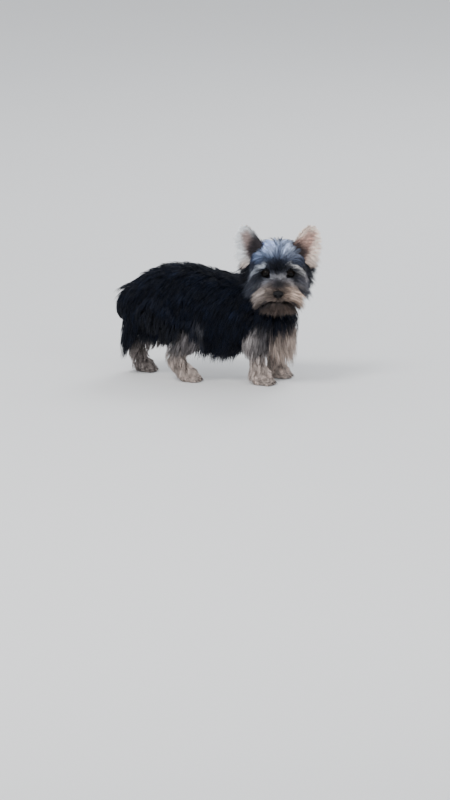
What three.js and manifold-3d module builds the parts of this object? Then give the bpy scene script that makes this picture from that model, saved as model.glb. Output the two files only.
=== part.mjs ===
// A young Yorkshire terrier in a slow walk, its head turned to its right, as a life-size still model.
//
// Millimetres, +Z up. +X runs forward along the body, +Y is the dog's left, and the soles stand on Z = 0.
// The head is laid out in a frame of its own: f forward along the muzzle, l to the dog's left, u up,
// measured from the point midway between the eyes.
import * as THREE from "three";
import { mergeGeometries, mergeVertices } from "three/addons/utils/BufferGeometryUtils.js";
import Module from "manifold-3d";

const wasm = await Module();
wasm.setup();

// Gap between two parts that touch.
const GAP = 0.3;

// How far the solid core under the locks stands off the skin. The tips reach about twice as far.
const CORE = { torso: 6, neck: 5, head: 2.5, leg: 1.5, tail: 2.5 };

// A lock of hair: its share of full width and thickness along its length.
const LOCK_RINGS = [
  [0, 0.6, 0.9],
  [0.333, 1, 1],
  [0.667, 0.76, 0.8],
  [1, 0, 0],
];

// Kinds of lock: length, width, thickness, how deep the root sits, height of the tip above the core,
// how closely it keeps to the hide, how much it hangs.
const kind = (long, wide, thick, sink, lift, cling, weight) => ({ long, wide, thick, sink, lift, cling, weight });
const LOCKS = {
  back: kind(52, 29, 5, 4, 6.5, 0.9, 0.3),
  flank: kind(58, 30, 5.5, 4, 8, 0.5, 0.7),
  skirt: kind(70, 29, 5.5, 4, 8, 0.1, 1.2),
  rump: kind(50, 21, 5.5, 4, 7, 0.3, 0.8),
  chest: kind(46, 22, 5, 4, 8, 0.25, 0.8),
  neck: kind(42, 21, 5, 4, 8, 0.5, 0.5),
  nape: kind(34, 17, 4, 3, 7, 0.6, 0.5),
  crown: kind(29, 14, 4, 3, 8, 0.7, 0.1),
  brow: kind(24, 7, 3, 2.5, 4, 0.5, 0.2),
  cheek: kind(36, 14, 4, 3, 11, 0.2, 0.4),
  moustache: kind(40, 12, 3.6, 3, 7, 0.05, 0.5),
  beard: kind(28, 12, 4, 3, 5, 0.05, 0.8),
  fringe: kind(22, 10, 1.8, 0.8, 1, 0.05, 0.4),
  leg: kind(27, 11, 3.2, 2.5, 3, 0.4, 0.5),
  tail: kind(32, 13, 4, 3, 5, 0.3, 0.8),
};

// Rows of locks along the torso, on both sides: kind, degrees from the spine, first and last station, how many.
const TORSO_ROWS = [
  ["back", 13, 1.5, 8.2, 6],
  ["back", 46, 1.4, 8.5, 7],
  ["flank", 80, 1.3, 8.7, 8],
  ["skirt", 112, 1.7, 8.5, 8],
  ["chest", 150, 7, 8.8, 2],
  ["rump", 60, 0.6, 0.6, 1],
  ["rump", 115, 0.6, 0.6, 1],
  ["rump", 160, 1, 1, 1],
  ["chest", 28, 9.4, 9.4, 1],
  ["chest", 88, 9.3, 9.3, 1],
];

// Rows of locks round the neck, by their degrees from its top, with stations as above.
const NECK_ROWS = [
  ["neck", 24, 2, 3.3, 2],
  ["neck", 66, 1.8, 3.6, 2],
  ["neck", 106, 1.7, 3.7, 3],
  ["neck", 150, 2.4, 3.6, 2],
];

// Locks of the head, on both sides: kind, the way they lie, and where they root, each as (f, l, u).
const HEAD_LOCKS = [
  ["crown", [-0.7, 0.5, 0.5], [[-2, 5, 18], [-4, 15, 18], [-15, 7, 34], [-17, 20, 28], [-30, 7, 34]]],
  ["nape", [-0.5, 0.2, -1], [[-42, 9, 26], [-48, 18, 8], [-54, 6, -4]]],
  ["brow", [0.3, 1, 0.25], [[1, 5, 14]]],
  ["cheek", [-0.1, 0.7, -1], [[-8, 27, -7], [-22, 31, -2], [-35, 29, -8], [-13, 26, -20]]],
  ["moustache", [-0.1, 1, -0.3], [[12, 4, -6], [20, 4, -9]]],
  ["moustache", [0.15, 1, -0.75], [[9, 14, -15], [18, 12, -16], [25, 10, -20], [15, 14, -25]]],
  ["beard", [0.15, 0.2, -1], [[23, 4, -38], [13, 8, -40], [0, 10, -38]]],
];

// Fringe of an ear: how far up the leaf each lock roots, how far towards its outer edge, and its size.
const FRINGE = [
  [0.1, 0.8, 1],
  [0.24, 0.85, 1.05],
  [0.38, 0.86, 1],
  [0.52, 0.86, 0.9],
  [0.66, 0.85, 0.8],
  [0.8, 0.8, 0.6],
];

// Feathering of a leg: which segment, how far down it, and degrees round it from the front to the outside.
const FEATHER = [
  [0, 0.65, 120],
  [1, 0.05, 30],
  [1, 0.1, 170],
  [1, 0.4, 100],
  [1, 0.65, 60],
  [1, 0.7, 160],
];

// Head: the point midway between the eyes, how far the face is turned right of +X, and its dip.
const HEAD = { at: [99.4, -55, 175], turn: 78, dip: 14 };
const EYE = { f: -5, l: 16.5, u: 0, radius: 8, toe: 14, lid: 1.5, wide: 13.6, tall: 11 };
const NOSE = { f: 30.5, u: -19.5, wide: 15, tall: 11.5, deep: 9 };
const MOUTH = { f: 26, u: -30.5, gape: 1.1, depth: 2.2, reach: 24, slope: 8 };
const EAR = {
  base: { f: -23, l: 30, u: 10 },
  tip: { f: -30, l: 50, u: 62.5 },
  across: { f: -0.25, l: 0.88, u: -0.4 },
  thick: 2,
  cup: 7,
};

const X = new THREE.Vector3(1, 0, 0);
const Z = new THREE.Vector3(0, 0, 1);
const vec = (x, y, z) => new THREE.Vector3(x, y, z);
const lerp = THREE.MathUtils.lerp;
const radians = THREE.MathUtils.degToRad;

// Turns head coordinates (f, l, u) into places and directions in the dog's frame.
const headTurn = (() => {
  const [turn, dip] = [radians(HEAD.turn), radians(HEAD.dip)];
  const ahead = vec(Math.cos(dip) * Math.cos(turn), -Math.cos(dip) * Math.sin(turn), -Math.sin(dip));
  const left = vec(Math.sin(turn), Math.cos(turn), 0);
  const up = ahead.clone().cross(left);
  return new THREE.Matrix4().makeBasis(ahead, left, up).setPosition(...HEAD.at);
})();
const inHead = (f, l, u) => vec(f, l, u).applyMatrix4(headTurn);
const alongHead = (f, l, u) => vec(f, l, u).transformDirection(headTurn);

// A smooth tube through stations, each with a centre and its reach to the sides, up and down.
// Angle 0 is the top of a section and a quarter turn is its left. Sections stand square to the
// centre line, or to one direction where that is given.
class Loft {
  constructor(stations, topward = Z, forward = null) {
    this.stations = stations;
    this.topward = topward;
    this.forward = forward;
    this.last = stations.length - 1;
  }

  value(s, read) {
    const i = Math.min(Math.floor(Math.max(s, 0)), this.last - 1);
    const t = s - i;
    const [a, b, c, d] = [i - 1, i, i + 1, i + 2].map((k) =>
      read(this.stations[Math.min(Math.max(k, 0), this.last)]),
    );
    return 0.5 * (2 * b + (c - a) * t + (2 * a - 5 * b + 4 * c - d) * t * t + (3 * b - a - 3 * c + d) * t ** 3);
  }

  centre(s) {
    return vec(...[0, 1, 2].map((k) => this.value(s, (station) => station.at[k])));
  }

  ahead(s) {
    if (this.forward) return this.forward.clone();
    const step = 0.05;
    return this.centre(Math.min(s + step, this.last)).sub(this.centre(Math.max(s - step, 0))).normalize();
  }

  skin(s, angle) {
    const ahead = this.ahead(s);
    const left = this.topward.clone().cross(ahead).normalize();
    const top = ahead.clone().cross(left);
    const [sine, cosine] = [Math.sin(angle), Math.cos(angle)];
    const wide = Math.max(this.value(s, (station) => station.wide), 0);
    const tall = Math.max(this.value(s, (station) => (cosine > 0 ? station.up : station.down)), 0);
    return this.centre(s).addScaledVector(left, wide * sine).addScaledVector(top, tall * cosine);
  }

  normal(s, angle) {
    const [ds, da] = [0.04, 0.06];
    const [s0, s1] = [Math.max(s - ds, 0), Math.min(s + ds, this.last)];
    const along = this.skin(s1, angle).sub(this.skin(s0, angle));
    const middle = THREE.MathUtils.clamp(s, ds, this.last - ds);
    const round = this.skin(middle, angle + da).sub(this.skin(middle, angle - da));
    return along.cross(round).normalize();
  }

  surface(s, angle, swell = 0) {
    return this.skin(s, angle).addScaledVector(this.normal(s, angle), swell);
  }

  geometry(rings, sides, swell = 0) {
    const first = this.stations[0].wide > 0 ? 0 : 1;
    const stop = this.stations[this.last].wide > 0 ? rings : rings - 1;
    const points = [];
    for (let i = first; i <= stop; i++) {
      const past = i === 0 ? -swell : i === rings ? swell : 0;
      for (let k = 0; k < sides; k++) {
        const s = (i / rings) * this.last;
        points.push(this.surface(s, (k / sides) * 2 * Math.PI, swell).addScaledVector(this.ahead(s), past));
      }
    }
    const start = this.centre(0).addScaledVector(this.ahead(0), -swell);
    const end = this.centre(this.last).addScaledVector(this.ahead(this.last), swell);
    return closedTube(points, sides, start, end);
  }
}

// Rings of points, one after another, closed by a point at each end.
function closedTube(points, sides, start, end) {
  const faces = [];
  const rings = points.length / sides;
  for (let k = 0; k < sides; k++) {
    const next = (k + 1) % sides;
    faces.push(points.length, next, k);
    for (let i = 0; i < rings - 1; i++) {
      const [a, b] = [i * sides, (i + 1) * sides];
      faces.push(a + k, a + next, b + next, a + k, b + next, b + k);
    }
    faces.push(points.length + 1, (rings - 1) * sides + k, (rings - 1) * sides + next);
  }
  const flat = [...points, start, end].flatMap((p) => [p.x, p.y, p.z]);
  return new THREE.BufferGeometry()
    .setAttribute("position", new THREE.Float32BufferAttribute(flat, 3))
    .setIndex(faces);
}

// Two facing grids of points, closed round their edges.
function closedSheet(front, back) {
  const [rows, columns] = [front.length, front[0].length];
  const flat = [...front.flat(), ...back.flat()].flatMap((p) => [p.x, p.y, p.z]);
  const at = (face, row, column) => face * rows * columns + row * columns + column;
  const faces = [];
  const quad = (a, b, c, d) => faces.push(a, b, c, a, c, d);
  for (let i = 0; i < rows - 1; i++) {
    for (let k = 0; k < columns - 1; k++) {
      quad(at(0, i, k), at(0, i, k + 1), at(0, i + 1, k + 1), at(0, i + 1, k));
      quad(at(1, i, k), at(1, i + 1, k), at(1, i + 1, k + 1), at(1, i, k + 1));
    }
    quad(at(0, i, 0), at(0, i + 1, 0), at(1, i + 1, 0), at(1, i, 0));
    quad(at(0, i, columns - 1), at(1, i, columns - 1), at(1, i + 1, columns - 1), at(0, i + 1, columns - 1));
  }
  for (let k = 0; k < columns - 1; k++) {
    quad(at(0, 0, k), at(1, 0, k), at(1, 0, k + 1), at(0, 0, k + 1));
    quad(at(0, rows - 1, k), at(0, rows - 1, k + 1), at(1, rows - 1, k + 1), at(1, rows - 1, k));
  }
  return new THREE.BufferGeometry()
    .setAttribute("position", new THREE.Float32BufferAttribute(flat, 3))
    .setIndex(faces);
}

// A closed geometry as a solid.
function solid(geometry) {
  const bare = geometry.clone();
  bare.deleteAttribute("normal");
  bare.deleteAttribute("uv");
  const merged = mergeVertices(bare, 1e-3);
  const triVerts = new Uint32Array(merged.index.array);
  const make = () =>
    new wasm.Manifold(
      new wasm.Mesh({ numProp: 3, vertProperties: new Float32Array(merged.attributes.position.array), triVerts }),
    );
  const made = make();
  if (made.volume() >= 0) return made;
  for (let i = 0; i < triVerts.length; i += 3) {
    [triVerts[i + 1], triVerts[i + 2]] = [triVerts[i + 2], triVerts[i + 1]];
  }
  return make();
}

const fuse = (pieces) => wasm.Manifold.union(pieces.map((piece) => (piece.isBufferGeometry ? solid(piece) : piece)));

// The largest closed body of a solid, which drops loose scraps.
const largest = (body) => body.decompose().reduce((a, b) => (b.volume() > a.volume() ? b : a));

// The surface that locks of hair lie on: finds its nearest point and the way it faces there.
class Hide {
  constructor(geometry) {
    const [place, index] = [geometry.attributes.position, geometry.index.array];
    this.faces = [];
    let volume = 0;
    for (let i = 0; i < index.length; i += 3) {
      const corners = [0, 1, 2].map((k) => new THREE.Vector3().fromBufferAttribute(place, index[i + k]));
      const triangle = new THREE.Triangle(...corners);
      const middle = triangle.getMidpoint(vec(0, 0, 0));
      const radius = Math.max(...corners.map((corner) => corner.distanceTo(middle)));
      this.faces.push({ triangle, middle, radius, normal: triangle.getNormal(vec(0, 0, 0)) });
      volume += corners[0].dot(corners[1].clone().cross(corners[2]));
    }
    if (volume < 0) this.faces.forEach((face) => face.normal.negate());
  }

  nearest(from) {
    const best = { gap: Infinity, point: vec(0, 0, 0), normal: null };
    const candidate = vec(0, 0, 0);
    for (const face of this.faces) {
      if (face.middle.distanceTo(from) - face.radius > best.gap) continue;
      face.triangle.closestPointToPoint(from, candidate);
      const gap = candidate.distanceTo(from);
      if (gap < best.gap) {
        best.gap = gap;
        best.point.copy(candidate);
        best.normal = face.normal;
      }
    }
    return best;
  }
}

// A lock of hair: a flat blade with a low ridge that leaves the hide, bends over it and ends in a point.
// It starts sunk in the hide, and is pushed out or drawn down to its lift as it goes.
class Lock {
  constructor(hide, root, lie, size) {
    const steps = 9;
    const stride = size.long / steps;
    let { point, normal } = hide.nearest(root);
    const at = point.clone().addScaledVector(normal, -size.sink);
    const heading = lie.clone();
    const face = normal.clone();
    const follow = () => {
      const leaving = heading.dot(normal);
      heading.addScaledVector(normal, leaving * (leaving < 0 ? -1 : -size.cling)).normalize();
    };
    follow();
    this.rings = [];
    for (let step = 0; step <= steps; step++) {
      const t = step / steps;
      const ring = LOCK_RINGS.find(([share]) => Math.abs(share - t) < 0.5 / steps);
      if (ring) {
        this.rings.push({
          at: at.clone(),
          heading: heading.clone(),
          face: face.clone().projectOnPlane(heading).normalize(),
          wide: (size.wide / 2) * ring[1],
          thick: size.thick * ring[2],
        });
      }
      at.addScaledVector(heading, stride);
      ({ point, normal } = hide.nearest(at));
      const height = at.clone().sub(point).dot(normal);
      const wanted = lerp(-size.sink, size.lift, 1 - (1 - Math.min(1.6 * t + 0.12, 1)) ** 2);
      at.addScaledVector(normal, (wanted - height) * (height < wanted ? 1 : size.cling));
      heading.addScaledVector(Z, -size.weight * t * stride * 0.06).normalize();
      if (height < wanted + 6) follow();
      face.addScaledVector(normal, 0.35 * (1 - Math.abs(normal.dot(heading)))).normalize();
    }
  }

  blade(swell = 0) {
    const points = [];
    for (const { at, heading, face, wide, thick } of this.rings.slice(0, -1)) {
      const side = heading.clone().cross(face);
      const corner = (across, out) => at.clone().addScaledVector(side, across).addScaledVector(face, out);
      const edge = wide + 3 * swell;
      points.push(
        corner(-edge, -thick * 0.35 - swell),
        corner(0, thick * 0.65 + 1.2 * swell),
        corner(edge, -thick * 0.35 - swell),
      );
    }
    const [first, last] = [this.rings[0], this.rings[this.rings.length - 1]];
    const start = first.at.clone().addScaledVector(first.heading, -2 * swell);
    const end = last.at.clone().addScaledVector(last.heading, 4 * swell);
    return closedTube(points, 3, start, end);
  }
}

// Draws between -1 and 1 that come out the same each time.
function drawsFrom(seed) {
  let state = seed;
  return () => {
    state = (Math.imul(state, 1664525) + 1013904223) >>> 0;
    return (state / 2 ** 32) * 2 - 1;
  };
}

// An ellipsoid about a centre, with its half sizes along three directions.
function ellipsoid(centre, halves, axes, across = 16, round = 10) {
  const matrix = new THREE.Matrix4()
    .makeBasis(...axes.map((axis, k) => axis.clone().multiplyScalar(halves[k])))
    .setPosition(centre);
  return new THREE.SphereGeometry(1, across, round).applyMatrix4(matrix);
}

// A limb segment between two joints, round at both ends, with its reach to the sides, front and back.
function limb(a, b, swell = 0, sides = 10) {
  const [start, end] = [vec(...a.at), vec(...b.at)];
  const ahead = end.clone().sub(start).normalize();
  const station = (centre, from, share) => ({
    at: centre.toArray(),
    wide: from.wide * share,
    up: from.front * share,
    down: from.back * share,
  });
  const past = (from, centre, far, share) =>
    station(centre.clone().addScaledVector(ahead, far * (from.front + from.back + from.wide) * 0.28), from, share);
  const loft = new Loft(
    [
      past(a, start, -1, 0),
      past(a, start, -0.72, 0.7),
      station(start, a, 1),
      station(end, b, 1),
      past(b, end, 0.72, 0.7),
      past(b, end, 1, 0),
    ],
    X,
  );
  return loft.geometry(5, sides, swell);
}

// Torso: x, height of the centre line, half width and reach above and below it.
const torsoLoft = new Loft(
  [
    [-138, 112, 0, 0, 0],
    [-131, 112, 18, 19, 22],
    [-114, 117, 27, 29, 29],
    [-88, 122, 33, 37, 34],
    [-55, 123, 36, 41, 38],
    [-20, 118, 38, 41, 42],
    [20, 112, 38, 38, 44],
    [55, 108, 35, 36, 42],
    [80, 104, 30, 29, 36],
    [96, 100, 20, 19, 25],
    [103, 98, 0, 0, 0],
  ].map(([x, z, wide, up, down]) => ({ at: [x, 0, z], wide, up, down })),
  Z,
  X,
);

// Neck: from between the shoulder blades up to the back of the skull.
const neckLoft = new Loft([
  { at: [36, 1, 108], wide: 0, up: 0, down: 0 },
  { at: [50, 1, 122], wide: 27, up: 24, down: 27 },
  { at: [64, -1, 137], wide: 25.5, up: 23, down: 26 },
  { at: [78, -7, 154], wide: 23, up: 21, down: 24 },
  { at: [88, -15, 168], wide: 20, up: 18, down: 20 },
  { at: [94, -23, 180], wide: 13, up: 11, down: 11 },
  { at: [96, -28, 187], wide: 0, up: 0, down: 0 },
]);

// Head: f, height of the centre line, half width and reach above and below it.
const headLoft = new Loft(
  [
    [-57, 2, 0, 0, 0],
    [-52, 2, 15, 15, 16],
    [-43, 3, 24.5, 24, 24],
    [-30, 3, 30.5, 29, 28],
    [-17, 1, 31.5, 29, 29],
    [-6, -3, 28.5, 24, 29],
    [2, -11, 21, 15.5, 25],
    [9, -16, 16.5, 10.5, 23],
    [18, -18.5, 15, 9.5, 21.5],
    [26, -20, 12.5, 8.5, 17],
    [31, -20.5, 0, 0, 0],
  ].map(([f, u, wide, up, down]) => ({ at: inHead(f, 0, u).toArray(), wide, up, down })),
  alongHead(0, 0, 1),
  alongHead(1, 0, 0),
);

// Tail: a short docked stump carried low against the rump.
const tailLoft = new Loft(
  [
    { at: [-124, 0, 126], wide: 0, up: 0, down: 0 },
    { at: [-132, 0, 124], wide: 8, up: 8, down: 8 },
    { at: [-139, 0, 120], wide: 7.5, up: 7.5, down: 7.5 },
    { at: [-146, 0, 110], wide: 6.5, up: 6.5, down: 6.5 },
    { at: [-149, 0, 99], wide: 4.5, up: 4.5, down: 4.5 },
    { at: [-149.5, 0, 95], wide: 0, up: 0, down: 0 },
  ],
  X,
);

// Legs: joints from the body down, each with its reach to the side, front and back.
const joint = (x, y, z, wide, front, back) => ({ at: [x, y, z], wide, front, back });
const LEGS = {
  fore_leg_right: {
    side: -1,
    joints: [
      joint(72, -23, 102, 12, 15, 15),
      joint(62, -27, 76, 9, 9.5, 12),
      joint(64, -26, 31, 5.8, 5.8, 5.8),
      joint(67, -26, 14, 6.6, 6.6, 6.2),
    ],
    paw: { name: "fore_paw_right", at: [71, -26], size: 1 },
  },
  fore_leg_left: {
    side: 1,
    joints: [
      joint(78, 23, 102, 12, 15, 15),
      joint(69, 27, 77, 9, 9.5, 12),
      joint(80, 26, 31, 5.8, 5.8, 5.8),
      joint(83, 26, 14, 6.6, 6.6, 6.2),
    ],
    paw: { name: "fore_paw_left", at: [87, 26], size: 1 },
  },
  hind_leg_right: {
    side: -1,
    joints: [
      joint(-92, -23, 110, 14, 24, 24),
      joint(-38, -30, 70, 10, 12, 12),
      joint(-62, -28, 38, 5.8, 6.2, 7),
      joint(-46, -27, 14, 5.8, 6, 6),
    ],
    paw: { name: "hind_paw_right", at: [-40, -27], size: 0.95 },
  },
  hind_leg_left: {
    side: 1,
    joints: [
      joint(-98, 23, 110, 14, 24, 24),
      joint(-82, 29, 68, 11, 14, 14),
      joint(-134, 27, 42, 5.8, 6.2, 7),
      joint(-125, 26, 14, 5.8, 6, 6),
    ],
    paw: { name: "hind_paw_left", at: [-120, 26], size: 0.95 },
  },
};

const legPieces = (leg, swell) =>
  leg.joints.slice(1).map((to, k) => limb(leg.joints[k], to, swell, 7));

// Paw: a foot body, four toes side by side and their claws, cut flat at the floor.
const PAW = { long: 12, wide: 10, tall: 10, toe: 4.3, toeGap: 4.5, toeAhead: 8, claw: 1.5, clawLong: 7 };
function pawPieces(paw) {
  const k = paw.size;
  const [x, y] = paw.at;
  const axes = [X, vec(0, 1, 0), Z];
  const pieces = [
    ellipsoid(
      vec(x - 2, y, PAW.tall * k * 0.82),
      [PAW.long * k, PAW.wide * k, PAW.tall * k],
      axes,
      8,
      6,
    ),
  ];
  for (const place of [-1.5, -0.5, 0.5, 1.5]) {
    const inner = Math.abs(place) < 1;
    const toe = vec(x + (PAW.toeAhead + (inner ? 1.5 : -1.5)) * k, y + place * PAW.toeGap * k, PAW.toe * k * 0.88);
    const spread = place * 0.09;
    const along = vec(Math.cos(spread), Math.sin(spread), -0.1).normalize();
    const across = Z.clone().cross(along).normalize();
    pieces.push(
      ellipsoid(toe, [6.5 * k, PAW.toe * 0.92 * k, PAW.toe * k], [along, across, along.clone().cross(across)], 5, 4),
    );
    const claw = new THREE.ConeGeometry(PAW.claw * k, PAW.clawLong * k, 4)
      .rotateZ(-Math.PI / 2)
      .rotateY(radians(20))
      .rotateZ(spread);
    pieces.push(claw.translate(toe.x + 7 * k, toe.y + 7 * k * Math.sin(spread), toe.z + 0.2 * k));
  }
  return pieces;
}

// Everything under the floor, to cut the soles flat.
const underFloor = solid(new THREE.BoxGeometry(400, 200, 40).translate(0, 0, -20));

// Eye: a ball, and the almond opening between the lids.
const eyeCentre = (side) => inHead(EYE.f, side * EYE.l, EYE.u);
const eyeAxes = (side) => {
  const toe = radians(EYE.toe) * side;
  const ahead = alongHead(Math.cos(toe), Math.sin(toe), 0);
  const left = alongHead(-Math.sin(toe), Math.cos(toe), 0);
  return [ahead, left, alongHead(0, 0, 1)];
};
const ball = (side, radius) => new THREE.SphereGeometry(radius, 11, 8).translate(...eyeCentre(side).toArray());
function lidOpening(side) {
  const half = EYE.wide / 2;
  const outline = new THREE.Shape();
  outline.moveTo(-half, -0.8);
  outline.quadraticCurveTo(-half * 0.1, EYE.tall * 0.98, half, 0.4);
  outline.quadraticCurveTo(half * 0.1, -EYE.tall * 0.92, -half, -0.8);
  const [ahead, left, up] = eyeAxes(side);
  const matrix = new THREE.Matrix4()
    .makeBasis(left.clone().multiplyScalar(side), up, ahead)
    .setPosition(eyeCentre(side));
  return solid(
    new THREE.ExtrudeGeometry(outline, { depth: 20, bevelEnabled: false, curveSegments: 6 }).applyMatrix4(matrix),
  );
}

// Nose pad, with two nostrils and the groove between them.
const noseAxes = [alongHead(1, 0, 0), alongHead(0, 1, 0), alongHead(0, 0, 1)];
function nosePad(swell) {
  const [wide, tall, deep] = [NOSE.wide / 2 + swell, NOSE.tall / 2 + swell, NOSE.deep / 2 + swell];
  const stations = [
    [-1, 0.3, 0.9, 1, 0.86],
    [0, 0, 1, 1, 1],
    [0.6, -0.2, 0.93, 0.86, 0.92],
    [1, -0.5, 0.62, 0.5, 0.6],
    [1.12, -0.6, 0, 0, 0],
  ];
  return new Loft(
    stations.map(([f, u, across, up, down]) => ({
      at: inHead(NOSE.f + f * deep, 0, NOSE.u + u).toArray(),
      wide: wide * across,
      up: tall * up,
      down: tall * down,
    })),
    alongHead(0, 0, 1),
  ).geometry(6, 12);
}
function nostrils() {
  return [-1, 1].map((side) =>
    ellipsoid(
      inHead(NOSE.f + NOSE.deep * 0.44, side * NOSE.wide * 0.25, NOSE.u - 0.4),
      [3, 1.9, 1.5],
      noseAxes,
      8,
      6,
    ),
  );
}
const philtrum = () =>
  ellipsoid(inHead(NOSE.f + NOSE.deep * 0.55, 0, NOSE.u - 3.6), [1.1, 0.5, 3], noseAxes, 6, 4);

// Mouth: a slit round the muzzle, cut no deeper than its lips.
function mouthSlit() {
  const slab = new THREE.BoxGeometry(MOUTH.reach, 60, MOUTH.gape)
    .rotateY(radians(MOUTH.slope))
    .applyMatrix4(
      new THREE.Matrix4().makeBasis(...noseAxes).setPosition(inHead(MOUTH.f - MOUTH.reach / 2 + 8, 0, MOUTH.u)),
    );
  return solid(slab).subtract(solid(headLoft.geometry(18, 18, CORE.head - MOUTH.depth)));
}

// Ear: a thin cupped leaf from its root in the skull to a soft point, hollow side forward,
// as half widths by the share of its height.
const EAR_WIDTHS = [
  [0, 11],
  [0.12, 15],
  [0.32, 17.5],
  [0.52, 16.5],
  [0.72, 13],
  [0.88, 8.5],
  [1, 3.5],
];
function earAxes(side) {
  const own = (p) => alongHead(p.f, side * p.l, p.u);
  const place = (p) => inHead(p.f, side * p.l, p.u);
  const base = place(EAR.base);
  const height = place(EAR.tip).sub(base);
  const along = height.clone().normalize();
  const across = own(EAR.across).normalize();
  const front = across.clone().cross(along).multiplyScalar(side).normalize();
  return { base, height, along, across, front };
}

// A place on an ear: v up from its root, w from its inner to its outer edge, and out in front of its middle layer.
function onEar(side, v, w, out = 0, swell = 0) {
  const { base, height, along, across, front } = earAxes(side);
  const half = EAR_WIDTHS.reduce((found, [at, width], k) => {
    const next = EAR_WIDTHS[Math.min(k + 1, EAR_WIDTHS.length - 1)];
    return v >= at ? lerp(width, next[1], (v - at) / Math.max(next[0] - at, 1e-6)) : found;
  }, 0);
  const past = v === 0 ? -swell : v === 1 ? swell : 0;
  const reach = w * half + Math.trunc(w) * swell;
  const cup = EAR.cup * (1 - v) ** 0.8 + 0.6;
  return base
    .addScaledVector(height, v)
    .addScaledVector(along, past)
    .addScaledVector(across, reach)
    .addScaledVector(front, cup * ((reach / half) ** 2 - 1) + out);
}

function earLeaf(side, swell) {
  const face = (way) =>
    EAR_WIDTHS.map(([v]) =>
      [-1, -0.67, -0.33, 0, 0.33, 0.67, 1].map((w) =>
        onEar(side, v, w, way * ((EAR.thick / 2) * (1 - 0.35 * v) + swell), swell),
      ),
    );
  return closedSheet(face(1), face(-1));
}

// Cores of the coat, swollen by the given amount.
const torsoCore = (swell) => torsoLoft.geometry(15, 14, CORE.torso + swell);
const neckCore = (swell) => neckLoft.geometry(8, 14, CORE.neck + swell);
const headCore = (swell) => headLoft.geometry(16, 14, CORE.head + swell);
const tailCore = (swell) => tailLoft.geometry(6, 8, CORE.tail + swell);

// A lock a little longer or shorter, and turned a little, by chance.
const draw = drawsFrom(7);
function strayLock(hide, root, lie, size, share = 1) {
  const grown = share * (1 + 0.12 * draw());
  const turned = lie.clone().normalize().add(vec(draw(), draw(), draw()).multiplyScalar(0.16));
  return new Lock(hide, root, turned, { ...size, long: size.long * grown, wide: size.wide * Math.min(share, 1) });
}

// Locks in rows along a loft. Each second row is shifted by half a step, as shingles are.
function locksInRows(rows, loft, hide, swell, lieAt) {
  return rows.flatMap(([name, degrees, first, last, count], row) =>
    [-1, 1].flatMap((side) =>
      Array.from({ length: count }, (_, k) => {
        const step = (last - first) / Math.max(count - 1, 1);
        const s = THREE.MathUtils.clamp(first + step * (k + (row % 2 ? 0 : 0.35)), 0.2, loft.last - 0.2);
        const root = loft.surface(s, side * radians(degrees + 3 * draw()), swell);
        return strayLock(hide, root, lieAt(s, side, loft.normal(s, side * radians(degrees))), LOCKS[name]);
      }),
    ),
  );
}

const torsoLocks = locksInRows(TORSO_ROWS, torsoLoft, new Hide(torsoCore(0)), CORE.torso, (s, side, normal) => {
  const top = Math.max(normal.z, 0);
  return vec(-0.4 - 0.5 * top, side * (0.12 + 0.5 * top), -1 + 0.3 * top);
});
const neckLocks = locksInRows(NECK_ROWS, neckLoft, new Hide(neckCore(0)), CORE.neck, (s, side) =>
  neckLoft.ahead(s).negate().add(vec(0, side * 0.1, -0.5)),
);
const headHide = new Hide(headCore(0));
const headLocks = HEAD_LOCKS.flatMap(([name, lie, roots]) =>
  roots.flatMap(([f, l, u]) =>
    [-1, 1].map((side) =>
      strayLock(headHide, inHead(f, side * l, u), alongHead(lie[0], side * lie[1], lie[2]), LOCKS[name]),
    ),
  ),
);
const tailHide = new Hide(tailCore(0));
const tailLocks = [2.1, 3.3].flatMap((s, row) =>
  [0, 120, 240].map((degrees) =>
    strayLock(
      tailHide,
      tailLoft.surface(s, radians(degrees + 25 + 60 * row), CORE.tail),
      tailLoft.ahead(s).add(vec(-0.15, 0, -0.3)),
      LOCKS.tail,
    ),
  ),
);
function earLocks(side) {
  const hide = new Hide(earLeaf(side, 0));
  return FRINGE.map(([v, w, share]) => {
    const lie = earAxes(side).across.multiplyScalar(Math.sign(w)).add(vec(0, 0, -0.45));
    return strayLock(hide, onEar(side, v, w), lie, LOCKS.fringe, share);
  });
}
function legLocks(leg) {
  const hide = new Hide(mergeGeometries(legPieces(leg, CORE.leg)));
  return FEATHER.map(([segment, t, degrees]) => {
    const [a, b] = [leg.joints[segment], leg.joints[segment + 1]];
    const down = vec(...b.at).sub(vec(...a.at)).normalize();
    const out = vec(Math.cos(radians(degrees)), leg.side * Math.sin(radians(degrees)), 0).projectOnPlane(down);
    const root = vec(...a.at).lerp(vec(...b.at), t).addScaledVector(out.normalize(), lerp(a.back, b.back, t) + 2);
    return strayLock(hide, root, down.addScaledVector(out, 0.25), LOCKS.leg);
  });
}

const blades = (locks, swell) => locks.map((lock) => lock.blade(1.5 * swell));
const balls = (radius) => [1, -1].map((side) => ball(side, radius));

const eyes = { eye_left: solid(ball(1, EYE.radius)), eye_right: solid(ball(-1, EYE.radius)) };
const nose = solid(nosePad(0)).subtract(fuse([...nostrils(), philtrum()]));

const ears = {};
const earCutters = [];
for (const [name, side] of [["ear_left", 1], ["ear_right", -1]]) {
  const locks = earLocks(side);
  ears[name] = largest(fuse([earLeaf(side, 0), ...blades(locks, 0)]));
  earCutters.push(fuse([earLeaf(side, 1.5 * GAP), ...blades(locks, GAP)]));
}
const earCutter = fuse(earCutters);

const headFlesh = fuse([headCore(0), ...balls(EYE.radius + GAP + EYE.lid)]).subtract(mouthSlit());
const headOpenings = [...balls(EYE.radius + GAP), lidOpening(1), lidOpening(-1), nosePad(GAP), earCutter];
const head = largest(fuse([headFlesh, ...blades(headLocks, 0)]).subtract(fuse(headOpenings)));
const headCutter = fuse([head, headCore(GAP), ...blades(headLocks, GAP), earCutter]);

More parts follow.
